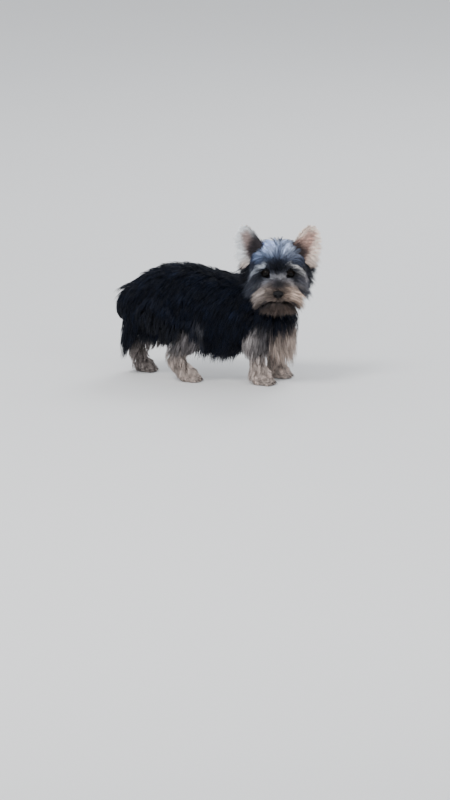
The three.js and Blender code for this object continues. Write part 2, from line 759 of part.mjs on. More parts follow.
const neck = largest(fuse([neckCore(0), ...blades(neckLocks, 0)]).subtract(headCutter));
const neckCutter = fuse([neck, neckCore(GAP), ...blades(neckLocks, GAP)]);
const tail = largest(fuse([tailCore(0), ...blades(tailLocks, 0)]));
const tailCutter = fuse([tail, tailCore(GAP), ...blades(tailLocks, GAP)]);
const torso = largest(
  fuse([torsoCore(0), ...blades(torsoLocks, 0)]).subtract(fuse([headCutter, neckCutter, tailCutter])),
);
const torsoCutter = fuse([torso, torsoCore(GAP), ...blades(torsoLocks, GAP), tailCutter, underFloor]);

const legs = {};
for (const [name, leg] of Object.entries(LEGS)) {
  const locks = legLocks(leg);
  legs[name] = largest(fuse([...legPieces(leg, CORE.leg), ...blades(locks, 0)]).subtract(torsoCutter));
  const legCutter = fuse([...legPieces(leg, CORE.leg + GAP), ...blades(locks, GAP), underFloor]);
  legs[leg.paw.name] = largest(fuse(pawPieces(leg.paw)).subtract(legCutter));
}

// Colours and finish of each part.
const finish = (color, roughness) => new THREE.MeshStandardMaterial({ color, roughness, metalness: 0 });
const LOOKS = {
  black: finish(0x14151a, 0.75),
  tan: finish(0xa8886c, 0.8),
  silver: finish(0x6b7080, 0.75),
  eye: finish(0x1a0f0a, 0.15),
  nose: finish(0x17161a, 0.5),
};

function part(name, body, look) {
  const made = body.getMesh();
  const geometry = new THREE.BufferGeometry()
    .setAttribute("position", new THREE.Float32BufferAttribute(made.vertProperties, 3))
    .setIndex([...made.triVerts]);
  geometry.computeVertexNormals();
  const mesh = new THREE.Mesh(geometry, look);
  mesh.name = name;
  return mesh;
}

const dog = new THREE.Group();
dog.add(part("head", head, LOOKS.silver), part("nose", nose, LOOKS.nose), part("neck", neck, LOOKS.black));
dog.add(part("torso", torso, LOOKS.black), part("tail", tail, LOOKS.black));
for (const [name, body] of Object.entries(eyes)) dog.add(part(name, body, LOOKS.eye));
for (const [name, body] of Object.entries(ears)) dog.add(part(name, body, LOOKS.tan));
for (const [name, body] of Object.entries(legs)) dog.add(part(name, body, LOOKS.tan));

// The origin is on the floor, under the middle of the whole dog.
const size = new THREE.Box3().setFromObject(dog, true);
const middle = size.getCenter(new THREE.Vector3());
dog.position.set(-middle.x, -middle.y, -size.min.z);

export default dog;
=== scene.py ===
"""A young Yorkshire terrier in a slow walk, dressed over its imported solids.

Shapes are worked out in millimetres in the dog's own frame, +X forward, +Y to its left and the soles on
Z = 0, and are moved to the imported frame, in metres, as each mesh is made. The head has a frame of its own:
f forward along the muzzle, l to the dog's left and u up, from the point midway between the eyes.
"""

from __future__ import annotations

import logging
import math
from dataclasses import dataclass, field
from enum import Enum
from typing import Any, Iterable, Sequence

import bpy
import numpy as np
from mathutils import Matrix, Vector
from mathutils.bvhtree import BVHTree

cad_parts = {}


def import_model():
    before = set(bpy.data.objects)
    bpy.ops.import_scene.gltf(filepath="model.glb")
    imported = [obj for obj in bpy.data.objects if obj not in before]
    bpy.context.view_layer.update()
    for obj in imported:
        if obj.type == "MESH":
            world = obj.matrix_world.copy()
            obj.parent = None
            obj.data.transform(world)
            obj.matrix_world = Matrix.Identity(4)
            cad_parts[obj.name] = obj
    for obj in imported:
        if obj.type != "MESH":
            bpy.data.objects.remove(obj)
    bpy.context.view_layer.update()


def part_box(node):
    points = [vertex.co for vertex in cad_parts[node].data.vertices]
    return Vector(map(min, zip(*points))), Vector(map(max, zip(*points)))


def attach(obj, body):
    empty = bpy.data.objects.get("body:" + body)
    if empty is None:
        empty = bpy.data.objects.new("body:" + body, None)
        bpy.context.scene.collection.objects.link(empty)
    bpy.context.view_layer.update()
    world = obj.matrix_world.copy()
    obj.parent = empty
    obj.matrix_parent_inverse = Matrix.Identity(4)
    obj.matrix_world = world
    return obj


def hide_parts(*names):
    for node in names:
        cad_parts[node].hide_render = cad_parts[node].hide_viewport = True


LOG = logging.getLogger("terrier")
MM = 0.001
UP = np.array([0.0, 0.0, 1.0])
AHEAD = np.array([1.0, 0.0, 0.0])
# Steps whose multiples, without their whole parts, fill a square evenly.
EVEN_STEPS = (0.7548776662, 0.5698402910)
# The smallest length that is divided by.
TINY = 1e-9
Array = np.ndarray
Colour = tuple[float, float, float]


class Slot(Enum):
    """Material slots of the part's record."""

    DARK = "dark_coat"
    FACE = "face_coat"
    LEG = "leg_coat"
    EAR = "ear"
    EYE = "eye"
    NOSE = "nose"


class Side(Enum):
    """Sides of the dog, as the sign of its left."""

    LEFT = 1
    RIGHT = -1

    @property
    def word(self) -> str:
        """The side as it stands in names."""
        return self.name.lower()


def unit(vectors: Array) -> Array:
    """Directions of length one."""
    return vectors / np.maximum(np.linalg.norm(vectors, axis=-1, keepdims=True), TINY)


def dot(a: Array, b: Array) -> Array:
    """Row by row products, kept as a column."""
    return np.sum(a * b, axis=-1, keepdims=True)


def circle(count: int) -> Array:
    """Even turns round a circle."""
    return np.arange(count) / count * 2 * math.pi


def directions(tilt: Array, turn: Array) -> Array:
    """Directions by their tilt off the first axis and their turn round it."""
    return np.stack([np.cos(tilt) + 0 * turn, np.sin(tilt) * np.cos(turn), np.sin(tilt) * np.sin(turn)], -1)


def oval(x: Array, y: Array, wide: float, tall: float) -> Array:
    """Squared distances from the middle of an oval, 1 on its edge."""
    return (x / wide) ** 2 + (y / tall) ** 2


def towards(colours: Array, other: Any, share: Array) -> Array:
    """Colours taken a share of the way to another."""
    return colours + (np.asarray(other) - colours) * share[:, None]


def added(name: str, data: bpy.types.ID) -> bpy.types.Object:
    """A new object in the scene.

    Args:
        name: its name.
        data: its mesh, lamp or camera.

    Returns:
        The object.
    """
    made = bpy.data.objects.new(name, data)
    bpy.context.scene.collection.objects.link(made)
    return made


def finished_mesh(piece: bpy.types.Object) -> bpy.types.Mesh:
    """What a piece's modifiers make of it, as a plain mesh."""
    return bpy.data.meshes.new_from_object(piece.evaluated_get(bpy.context.evaluated_depsgraph_get()))


def even_pairs(count: int, seed: int) -> Array:
    """Pairs in the unit square that are spread evenly, without clumps or gaps.

    Args:
        count: how many pairs.
        seed: shifts the whole set.

    Returns:
        An array of count rows of two.
    """
    start = np.random.default_rng(seed).random(2)
    steps = np.arange(count)[:, None] * np.array(EVEN_STEPS)
    return (start + steps) % 1.0


def smooth(values: Array, low: float, high: float) -> Array:
    """Rises softly from 0 at low to 1 at high."""
    t = np.clip((values - low) / (high - low), 0, 1)
    return t * t * (3 - 2 * t)


@dataclass(frozen=True)
class HeadFrame:
    """Where the head stands and which way it looks."""

    at: tuple[float, float, float] = (99.4, -55.0, 175.0)
    turn: float = 78.0
    dip: float = 14.0

    def axes(self) -> Array:
        """The head's own directions.

        Returns:
            Forward, left and up, as rows.
        """
        turn, dip = math.radians(self.turn), math.radians(self.dip)
        ahead = [math.cos(dip) * math.cos(turn), -math.cos(dip) * math.sin(turn), -math.sin(dip)]
        left = [math.sin(turn), math.cos(turn), 0.0]
        return np.array([ahead, left, np.cross(ahead, left)])

    def place(self, flu: Any) -> Array:
        """Places in the dog's frame of places in the head."""
        return np.asarray(self.at) + np.asarray(flu, float) @ self.axes()

    def way(self, flu: Any) -> Array:
        """Directions in the dog's frame of directions in the head."""
        return unit(np.asarray(flu, float) @ self.axes())

    def own(self, points: Array) -> Array:
        """Places in the head of places in the dog's frame."""
        return (points - np.asarray(self.at)) @ self.axes().T


HEAD = HeadFrame()


@dataclass
class Shell:
    """Points and triangles of a shape, in millimetres in the dog's frame."""

    points: Array
    faces: Array

    @staticmethod
    def joined(shells: Sequence[Shell]) -> Shell:
        """Several shapes as one list of points and triangles.

        Args:
            shells: the shapes.

        Returns:
            The one shape.
        """
        starts = np.cumsum([0] + [len(shell.points) for shell in shells[:-1]])
        faces = [shell.faces + start for shell, start in zip(shells, starts)]
        return Shell(np.concatenate([shell.points for shell in shells]), np.concatenate(faces))

    def tree(self) -> BVHTree:
        """A search tree that finds the nearest place on the shape."""
        return BVHTree.FromPolygons(self.points.tolist(), self.faces.tolist())


def grid_faces(rows: int, columns: int, wrap: bool) -> Array:
    """Triangles between rows of points.

    Args:
        rows: number of rows.
        columns: points in a row.
        wrap: whether the last point of a row joins the first.

    Returns:
        Three indices a row.
    """
    across = np.arange(columns if wrap else columns - 1)
    down = np.arange(rows - 1)[:, None] * columns
    a, b = down + across, down + (across + 1) % columns
    return np.stack([a, b, b + columns, a, b + columns, a + columns], -1).reshape(-1, 3)


def tube(rings: Array) -> Shell:
    """A closed tube through rings of points.

    Args:
        rings: rings, points in a ring, three.

    Returns:
        The tube, closed by a point in the middle of each end.
    """
    count, sides = rings.shape[:2]
    points = np.concatenate([rings.reshape(-1, 3), rings[:1].mean(1), rings[-1:].mean(1)])
    k = np.arange(sides)
    start, end, last = count * sides, count * sides + 1, (count - 1) * sides
    caps = [
        np.stack([np.full(sides, start), (k + 1) % sides, k], -1),
        np.stack([np.full(sides, end), last + k, last + (k + 1) % sides], -1),
    ]
    return Shell(points, np.concatenate([grid_faces(count, sides, True), *caps]))


class Packed:
    def __init__(self) -> None:
        """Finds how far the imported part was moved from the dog's own frame."""
        low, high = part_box("eye_left")
        centre = np.array((low + high) / 2) / MM
        self.shift = centre - Eyes().centre(Side.LEFT)

    def mesh(self, name: str, shell: Shell) -> bpy.types.Object:
        """A mesh object of a shape, shaded smooth.

        Args:
            name: name of the piece.
            shell: its shape.

        Returns:
            The object, at the origin with its place in its mesh.
        """
        mesh = bpy.data.meshes.new(name)
        points = (shell.points + self.shift) * MM
        faces = shell.faces.astype(np.int32)
        mesh.vertices.add(len(points))
        store(mesh.vertices, "co", points)
        mesh.loops.add(faces.size)
        mesh.loops.foreach_set("vertex_index", faces.ravel())
        mesh.polygons.add(len(faces))
        mesh.polygons.foreach_set("loop_start", np.arange(0, faces.size, 3, dtype=np.int32))
        mesh.polygons.foreach_set("use_smooth", np.full(len(faces), True))
        mesh.update(calc_edges=True)
        return added(name, mesh)

    def shell(self, mesh: bpy.types.Mesh) -> Shell:
        """Reads a mesh back.

        Args:
            mesh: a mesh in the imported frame.

        Returns:
            Its shape, in millimetres in the dog's frame.
        """
        mesh.calc_loop_triangles()
        points = np.zeros(len(mesh.vertices) * 3, np.float32)
        mesh.vertices.foreach_get("co", points)
        faces = np.zeros(len(mesh.loop_triangles) * 3, np.int32)
        mesh.loop_triangles.foreach_get("vertices", faces)
        return Shell(points.reshape(-1, 3).astype(float) / MM - self.shift, faces.reshape(-1, 3))

    def wear(self, piece: bpy.types.Object, material: bpy.types.Material, slot: Slot, *nodes: str) -> None:
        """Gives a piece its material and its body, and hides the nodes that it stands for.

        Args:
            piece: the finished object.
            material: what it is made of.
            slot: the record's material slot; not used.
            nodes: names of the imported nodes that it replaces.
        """
        piece.data.materials.clear()
        piece.data.materials.append(material)
        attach(piece, "root")
        if nodes:
            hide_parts(*nodes)
        LOG.info("%s: %d triangles", piece.name, sum(len(p.vertices) - 2 for p in piece.data.polygons))


def store(rows: Any, key: str, values: Array) -> None:
    """Writes numbers into one field of every row of a mesh's layer."""
    rows.foreach_set(key, values.astype(np.float32).ravel())


def paint(piece: bpy.types.Object, name: str, colours: Array) -> None:
    """Stores a colour for each point of a mesh, under the given name."""
    opaque = np.hstack([colours, np.ones((len(colours), 1))])
    store(piece.data.attributes.new(name, "FLOAT_COLOR", "POINT").data, "color", opaque)


def measure(piece: bpy.types.Object, name: str, values: Array) -> None:
    """Stores a vector for each point of a mesh, under the given name."""
    store(piece.data.attributes.new(name, "FLOAT_VECTOR", "POINT").data, "vector", values)


class Value:
    """A node's socket that takes part in sums."""

    def __init__(self, maker: NodeMaker, socket: bpy.types.NodeSocket) -> None:
        """Keeps the socket and the tree it belongs to."""
        self.maker = maker
        self.socket = socket

    def __add__(self, other: Any) -> Value:
        """The sum."""
        return self.maker.maths("ADD", self, other)

    __radd__ = __add__

    def __mul__(self, other: Any) -> Value:
        """The product."""
        return self.maker.maths("MULTIPLY", self, other)

    __rmul__ = __mul__

    def __sub__(self, other: Any) -> Value:
        """The difference."""
        return self.maker.maths("SUBTRACT", self, other)

    def __rsub__(self, other: Any) -> Value:
        """The difference from a plain number."""
        return self.maker.maths("SUBTRACT", other, self)


class NodeMaker:
    """A node tree that is written as expressions."""

    def __init__(self, tree: bpy.types.NodeTree) -> None:
        """Starts with an empty tree."""
        self.tree = tree
        self.tree.nodes.clear()

    def node(self, kind: str, settings: dict[str, Any], inputs: dict[Any, Any]) -> bpy.types.Node:
        """Adds any node.

        Args:
            kind: type of the node.
            settings: its settings, among them a ramp's stops, which are set first.
            inputs: values or links of its sockets, by name or number.

        Returns:
            The node.
        """
        made = self.tree.nodes.new(kind)
        for key, value in settings.items():
            if key == "stops":
                ramp = made.color_ramp
                while len(ramp.elements) < len(value):
                    ramp.elements.new(0.5)
                for element, (place, colour) in zip(ramp.elements, value):
                    element.position = place
                    element.color = (*colour, 1.0)
            else:
                setattr(made, key, value)
        for key, value in inputs.items():
            if isinstance(value, Value):
                self.tree.links.new(value.socket, made.inputs[key])
            elif isinstance(value, tuple) and len(value) == 3 and made.inputs[key].type == "RGBA":
                made.inputs[key].default_value = (*value, 1.0)
            else:
                made.inputs[key].default_value = value
        return made

    def first(self, kind: str, settings: dict[str, Any], inputs: dict[Any, Any]) -> Value:
        """Adds any node and hands on its first output."""
        return Value(self, self.node(kind, settings, inputs).outputs[0])

    def maths(self, operation: str, *values: Any) -> Value:
        """A sum of plain values."""
        return self.first("ShaderNodeMath", {"operation": operation}, dict(enumerate(values)))


class Scatter(NodeMaker):
    """Geometry Nodes that set a thing on every point of a mesh, turned as the point says."""

    inputs: tuple[tuple[str, str], ...] = (
        ("Points", "NodeSocketGeometry"), ("Thing", "NodeSocketObject"), ("Smallest", "NodeSocketFloat"),
        ("Seed", "NodeSocketInt"), ("Material", "NodeSocketMaterial"),
    )

    def __init__(self) -> None:
        """Builds the node group."""
        self.group = bpy.data.node_groups.new("scatter", "GeometryNodeTree")
        super().__init__(self.group)
        sockets = self.group.interface
        self.keys = {
            name: sockets.new_socket(name=name, in_out="INPUT", socket_type=kind).identifier
            for name, kind in self.inputs
        }
        sockets.new_socket(name="Made", in_out="OUTPUT", socket_type="NodeSocketGeometry")
        taken = self.node("NodeGroupInput", {}, {}).outputs
        given = {name: Value(self, taken[name]) for name in self.keys}
        thing = self.node("GeometryNodeObjectInfo", {}, {"Object": given["Thing"]})
        turn = self.first("GeometryNodeInputNamedAttribute", {"data_type": "FLOAT_VECTOR"}, {"Name": "turn"})
        # Sockets 2, 3 and 8 of this node are the least and the most of a plain number, and the seed.
        sizes = {2: given["Smallest"], 3: 1.0, 8: given["Seed"]}
        size = self.node("FunctionNodeRandomValue", {"data_type": "FLOAT"}, sizes)
        placed = self.first("GeometryNodeInstanceOnPoints", {}, {
            "Points": given["Points"], "Instance": Value(self, thing.outputs["Geometry"]),
            "Rotation": turn, "Scale": Value(self, size.outputs[1]),
        })
        real = self.first("GeometryNodeRealizeInstances", {}, {0: placed})
        dressed = self.first("GeometryNodeSetMaterial", {}, {"Geometry": real, "Material": given["Material"]})
        self.node("NodeGroupOutput", {}, {"Made": dressed})

    def scattered(self, name: str, points: bpy.types.Object, **given: Any) -> bpy.types.Object:
        """Sets things out and turns them into a mesh of their own.

        Args:
            name: name of the piece.
            points: mesh whose points carry the turns. It is used up.
            given: the other inputs, by name.

        Returns:
            The finished piece.
        """
        modifier = points.modifiers.new("scatter", "NODES")
        modifier.node_group = self.group
        for key, value in given.items():
            modifier[self.keys[key]] = value
        solid = finished_mesh(points)
        points.modifiers.remove(modifier)
        bpy.data.objects.remove(points)
        return added(name, solid)


class Shader(NodeMaker):
    """A material whose nodes are written as expressions."""

    def __init__(self, name: str) -> None:
        """Starts an empty tree.

        Args:
            name: name of the material.
        """
        self.material = bpy.data.materials.new(name)
        self.material.use_nodes = True
        super().__init__(self.material.node_tree)

    def blend(self, share: Any, first: Any, second: Any, how: str = "MIX") -> Value:
        """A colour made of two.

        Args:
            share: how much of the second.
            first: a colour.
            second: another.
            how: MIX, or MULTIPLY for their product.

        Returns:
            The colour.
        """
        # Sockets 6 and 7, and output 2, are the ones for colours.
        settings = {"data_type": "RGBA", "blend_type": how, "clamp_factor": True}
        made = self.node("ShaderNodeMix", settings, {0: share, 6: first, 7: second})
        return Value(self, made.outputs[2])

    def product(self, first: Any, second: Any) -> Value:
        """Two colours multiplied."""
        return self.blend(1.0, first, second, "MULTIPLY")

    def attribute(self, name: str, output: str) -> Value:
        """What a mesh stores under a name."""
        made = self.node("ShaderNodeAttribute", {"attribute_name": name}, {})
        return Value(self, made.outputs[output])

    def part_of(self, vector: Value, axis: int) -> Value:
        """One number of a vector."""
        made = self.node("ShaderNodeSeparateXYZ", {}, {0: vector})
        return Value(self, made.outputs[axis])

    def object_place(self) -> Value:
        """Object coordinates of the piece itself."""
        made = self.node("ShaderNodeTexCoord", {}, {})
        return Value(self, made.outputs["Object"])

    def noise(self, scale: float, detail: float = 3.0, rough: float = 0.5) -> Value:
        """Soft cloudy noise from 0 to 1 over the piece."""
        inputs = {"Vector": self.object_place(), "Scale": scale, "Detail": detail, "Roughness": rough}
        return self.first("ShaderNodeTexNoise", {}, inputs)

    def cells(self, scale: float) -> Value:
        """Distance to the middle of small cells."""
        inputs = {"Vector": self.object_place(), "Scale": scale}
        return self.first("ShaderNodeTexVoronoi", {"feature": "F1"}, inputs)

    def ramp(self, value: Value, stops: Sequence[tuple[float, Colour]]) -> Value:
        """A colour looked up along stops."""
        return self.first("ShaderNodeValToRGB", {"stops": stops}, {0: value})

    def grey(self, value: Value) -> Value:
        """A number as a grey colour."""
        return self.first("ShaderNodeCombineColor", {}, {0: value, 1: value, 2: value})

    def bump(self, height: Value, strength: float, distance: float) -> Value:
        """A normal that is tilted by a height."""
        inputs = {"Height": height, "Strength": strength, "Distance": distance}
        return self.first("ShaderNodeBump", {}, inputs)

    def surface(self, **sockets: Any) -> bpy.types.Material:
        """Ends the material in one surface shader.

        Args:
            sockets: values or links, with the sockets' names in small letters and underlines.

        Returns:
            The material.
        """
        names = (key.replace("_", " ").title().replace("Ior", "IOR") for key in sockets)
        made = self.node("ShaderNodeBsdfPrincipled", {}, dict(zip(names, sockets.values())))
        self.node("ShaderNodeOutputMaterial", {}, {"Surface": Value(self, made.outputs[0])})
        return self.material


@dataclass(frozen=True)
class CoatFinish:
    """Hair: its root's markings, streaked by tuft and strand and lighter towards the tips."""

    name: str
    root: float = 0.55
    tip: float = 1.25
    streak: float = 0.5
    tuft: float = 0.5
    cloud: float = 0.4
    roughness: float = 0.5
    uneven: float = 0.2
    specular: float = 0.3

    def material(self) -> bpy.types.Material:
        """Builds the material.

        Returns:
            The material.
        """
        shader = Shader(self.name)
        strand = shader.attribute("strand", "Vector")
        along, chance, tuft = (shader.part_of(strand, axis) for axis in range(3))
        shade = self.root + (self.tip - self.root) * along + (chance - 0.5) * self.streak
        shade = shade + (tuft - 0.5) * self.tuft + (shader.noise(60.0) - 0.5) * self.cloud
        return shader.surface(
            base_color=shader.product(shader.attribute("markings", "Color"), shader.grey(shade)),
            roughness=self.roughness + (chance - 0.5) * self.uneven,
            specular_ior_level=self.specular,
        )


@dataclass(frozen=True)
class SkinFinish:
    """Skin under the coat: the markings darkened to painted shade, so that gaps in the coat read as shadow,
    with fine folds.
    """

    name: str = "skin_under_coat"
    # How much of the markings is kept: the skin is painted as shade under the coat.
    shade: float = 0.2
    mottle: float = 0.2
    fold: float = 0.0006

    def material(self) -> bpy.types.Material:
        """Builds the material.

        Returns:
            The material.
        """
        shader = Shader(self.name)
        mottle = shader.noise(90.0, 4.0)
        shade = shader.grey(self.shade + mottle * self.mottle)
        folds = shader.noise(420.0, 5.0, 0.6) + shader.cells(700.0) * 0.5
        return shader.surface(
            base_color=shader.product(shader.attribute("markings", "Color"), shade),
            roughness=0.55 + mottle * 0.2,
            specular_ior_level=0.08,
            normal=shader.bump(folds, 0.5, self.fold),
        )


@dataclass(frozen=True)
class EyeFinish:
    """A wet dark brown eye, its rings read from the angle off its axis."""

    name: str = "eye"
    pupil: Colour = (0.002, 0.002, 0.002)
    iris: Colour = (0.006, 0.0032, 0.0025)
    rim: Colour = (0.003, 0.002, 0.002)
    white: Colour = (0.05, 0.04, 0.038)

    def material(self) -> bpy.types.Material:
        """Builds the material.

        Returns:
            The material.
        """
        shader = Shader(self.name)
        ring = shader.attribute("ring", "Vector")
        angle, turn = shader.part_of(ring, 0), shader.part_of(ring, 1)
        inputs = {"W": turn * 14.0, "Scale": 3.0}
        fibres = shader.first("ShaderNodeTexNoise", {"noise_dimensions": "1D"}, inputs)
        stops = [
            (0.0, self.pupil), (0.26, self.pupil), (0.3, self.iris), (0.5, self.iris),
            (0.57, self.rim), (0.68, self.rim), (0.8, self.white),
        ]
        return shader.surface(
            base_color=shader.product(shader.ramp(angle, stops), shader.grey(0.5 + fibres)),
            roughness=0.06 + shader.noise(300.0) * 0.05,
            coat_weight=0.07,
            coat_roughness=0.02,
            specular_ior_level=0.06,
        )


@dataclass(frozen=True)
class NoseFinish:
    """Moist pebbled nose leather."""

    name: str = "nose_leather"
    dark: Colour = (0.002, 0.002, 0.0025)
    worn: Colour = (0.007, 0.0065, 0.008)
    pebble: float = 0.0005

    def material(self) -> bpy.types.Material:
        """Builds the material.

        Returns:
            The material.
        """
        shader = Shader(self.name)
        pebbles = shader.cells(1300.0)
        colour = shader.blend(shader.noise(200.0) * pebbles * 1.4, self.dark, self.worn)
        return shader.surface(
            base_color=colour,
            roughness=0.34 + pebbles * 0.25,
            specular_ior_level=0.14,
            coat_weight=0.05,
            coat_roughness=0.2,
            normal=shader.bump(1.0 - pebbles, 0.8, self.pebble),
        )


@dataclass(frozen=True)
class ClawFinish:
    """Dark horn with growth lines."""

    name: str = "claw_horn"
    dark: Colour = (0.01, 0.008, 0.008)
    worn: Colour = (0.06, 0.045, 0.035)
    line: float = 0.0003

    def material(self) -> bpy.types.Material:
        """Builds the material.

        Returns:
            The material.
        """
        shader = Shader(self.name)
        lines = shader.noise(900.0, 2.0)
        return shader.surface(
            base_color=shader.blend(lines, self.dark, self.worn),
            roughness=0.3 + lines * 0.2,
            normal=shader.bump(lines, 0.3, self.line),
        )


@dataclass(frozen=True)
class FloorFinish:
    """Pale matt studio floor."""

    name: str = "studio_floor"
    pale: Colour = (0.8, 0.8, 0.8)

    def material(self) -> bpy.types.Material:
        """Builds the material.

        Returns:
            The material.
        """
        shader = Shader(self.name)
        cloud = shader.noise(2.0, 2.0)
        low = tuple(channel * 0.97 for channel in self.pale)
        return shader.surface(base_color=shader.blend(cloud, low, self.pale), roughness=0.9 + cloud * 0.05)


class Loft:
    """A smooth tube through stations, each with a centre and its reach to the sides, up and down.

    Stations are counted along the tube. Its direction is read over the lead before and after a
    place, and its area over the step, on a net of cells.
    """

    cells: tuple[int, int] = (96, 64)
    lead: float = 0.05
    step: float = 0.02

    def __init__(self, stations: Any, topward: Array = UP, forward: Array | None = None) -> None:
        """Keeps the stations.

        Args:
            stations: rows of x, y, z, reach to the sides, up and down.
            topward: where the top of a section faces.
            forward: the direction sections stand square to, if it isn't the centre line.
        """
        self.stations = np.asarray(stations, float)
        self.topward = topward
        self.forward = forward
        self.last = len(self.stations) - 1

    def value(self, s: Array) -> Array:
        """Looks up the rows of the stations, smoothly between them.

        Args:
            s: stations, with parts of a step.

        Returns:
            A row for each.
        """
        i = np.clip(np.floor(s).astype(int), 0, self.last - 1)
        t = (s - i)[..., None]
        a, b, c, d = (self.stations[np.clip(i + k, 0, self.last)] for k in (-1, 0, 1, 2))
        square, cube = 2 * a - 5 * b + 4 * c - d, 3 * b - a - 3 * c + d
        return 0.5 * (2 * b + (c - a) * t + square * t**2 + cube * t**3)

    def ahead(self, s: Array) -> Array:
        """Where the tube leads.

        Args:
            s: stations.

        Returns:
            A direction for each.
        """
        if self.forward is not None:
            return np.broadcast_to(self.forward, (*np.shape(s), 3))
        high, low = np.minimum(s + self.lead, self.last), np.maximum(s - self.lead, 0)
        return unit(self.value(high)[..., :3] - self.value(low)[..., :3])

    def skin(self, s: Array, angle: Array) -> Array:
        """Places on the tube.

        Args:
            s: stations.
            angle: turns from the top of a section towards its left.

        Returns:
            A place for each.
        """
        ahead = self.ahead(s)
        left = unit(np.cross(np.broadcast_to(self.topward, ahead.shape), ahead))
        top = np.cross(ahead, left)
        row = self.value(s)
        reach = np.maximum(row[..., 3:], 0)
        tall = np.where(np.cos(angle) > 0, reach[..., 1], reach[..., 2])
        across = (reach[..., 0] * np.sin(angle))[..., None] * left
        return row[..., :3] + across + (tall * np.cos(angle))[..., None] * top

    def shell(self, rings: int, sides: int) -> Shell:
        """The tube as a closed shape."""
        s, angles = np.linspace(0, self.last, rings + 1)[:, None], circle(sides)
        return tube(self.skin(s + 0 * angles, angles + 0 * s))

    def scatter(self, count: int, seed: int) -> tuple[Array, Array]:
        """Spreads places evenly over the tube's area.

        Args:
            count: how many.
            seed: shifts the spread.

        Returns:
            Their stations and their angles.
        """
        rows, columns = self.cells
        s = (np.arange(rows) + 0.5) / rows * self.last
        angle = (np.arange(columns) + 0.5) / columns * 2 * math.pi
        s, angle = np.meshgrid(s, angle, indexing="ij")
        low, high = np.maximum(s - self.step, 0), np.minimum(s + self.step, self.last)
        along = self.skin(high, angle) - self.skin(low, angle)
        around = self.skin(s, angle + self.step) - self.skin(s, angle - self.step)
        area = np.linalg.norm(np.cross(along, around), axis=-1)
        pairs = even_pairs(count, seed)
        down = np.concatenate([[0], np.cumsum(area.sum(1))])
        picked = np.interp(pairs[:, 0] * down[-1], down, np.arange(rows + 1))
        row = np.minimum(picked.astype(int), rows - 1)
        across = np.concatenate([np.zeros((rows, 1)), np.cumsum(area, 1)], 1)[row]
        wanted = pairs[:, 1] * across[:, -1]
        below = np.clip((across <= wanted[:, None]).sum(1) - 1, 0, columns - 1)
        each = np.arange(count)
        start, end = across[each, below], across[each, below + 1]
        share = (wanted - start) / np.maximum(end - start, TINY)
        return picked / rows * self.last, (below + share) / columns * 2 * math.pi


def limb(a: Sequence[float], b: Sequence[float]) -> Loft:
    """A limb segment between two joints, round at both ends.

    Args:
        a: x, y, z of the upper joint and its reach to the side, front and back.
        b: the same of the lower joint.

    Returns:
        The segment.
    """
    a, b = np.asarray(a, float), np.asarray(b, float)
    ahead = unit(b[:3] - a[:3])
    # Stations of a round end: how far out each one is, and its share of the joint's reach.
    cap, bulge = ((1, 0), (0.72, 0.7), (0, 1)), 0.28
    rows = []
    for joint, way, stations in ((a, -1, cap), (b, 1, cap[::-1])):
        for far, share in stations:
            rows.append([*(joint[:3] + ahead * way * far * joint[3:].sum() * bulge), *(joint[3:] * share)])
    return Loft(rows, AHEAD)


def ellipsoid(centre: Sequence[float], halves: Sequence[float], axes: Array) -> Shell:
    """An ellipsoid.

    Args:
        centre: its middle.
        halves: its half sizes.
        axes: their directions, as rows.

    Returns:
        The shape, closed at its poles.
    """
    pole, rings, sides = 0.02, 25, 32
    ball = directions(np.linspace(pole, math.pi - pole, rings)[:, None], circle(sides))
    return tube(np.asarray(centre) + (ball * np.asarray(halves)) @ axes)


@dataclass
class Growth:
    """Where tufts root and how each grows, one row a tuft."""

    root: Array
    lie: Array
    long: Array
    lift: Array
    cling: Array
    weight: Array
    colour: Array
    uv: Array

    def __post_init__(self) -> None:
        """Lets a plain number stand for a whole row."""
        for name in ("long", "lift", "cling", "weight"):
            setattr(self, name, np.broadcast_to(np.asarray(getattr(self, name), float), len(self.root)))

    def kept(self, mask: Array) -> Growth:
        """The rows that a mask keeps."""
        return Growth(*(getattr(self, name)[mask] for name in self.__dataclass_fields__))


@dataclass(frozen=True)
class Comb:
    """How the hair lies near a place: its way, its length and how far its tips stand off."""

    at: tuple[float, float, float]
    lie: tuple[float, float, float]
    long: float
    lift: float
    cling: float
    weight: float


class Combing:
    """Smooth lie and sizes between combed places, the same on both sides.

    Within the parting, in millimetres from the middle, hair leans less to the side, down to the
    least share.
    """

    parting: float = 3.0
    least: float = 0.15

    def __init__(self, combs: Sequence[Comb], reach: float) -> None:
        """Keeps the combed places.

        Args:
            combs: the places, on the left side.
            reach: how far each one is felt, in millimetres.
        """
        self.at = np.array([comb.at for comb in combs])
        self.lie = unit(np.array([comb.lie for comb in combs]))
        self.rest = np.array([[comb.long, comb.lift, comb.cling, comb.weight] for comb in combs])
        self.reach = reach

    def at_places(self, own: Array) -> tuple[Array, Array]:
        """Combed values at places.

        Args:
            own: places, the second number being to the left.

        Returns:
            The way the hair lies, and rows of length, lift, cling and weight.
        """
        side = np.where(own[:, 1] < 0, -1.0, 1.0)
        folded = own * np.stack([np.ones_like(side), side, np.ones_like(side)], -1)
        gap = np.linalg.norm(folded[:, None] - self.at[None], axis=-1)
        share = np.exp(-((gap - gap.min(1, keepdims=True)) / self.reach) * (gap / self.reach))
        share /= share.sum(1, keepdims=True)
        lie = unit(share @ self.lie)
        lie[:, 1] *= side * np.clip(np.abs(own[:, 1]) / self.parting, self.least, 1.0)
        return unit(lie), share @ self.rest


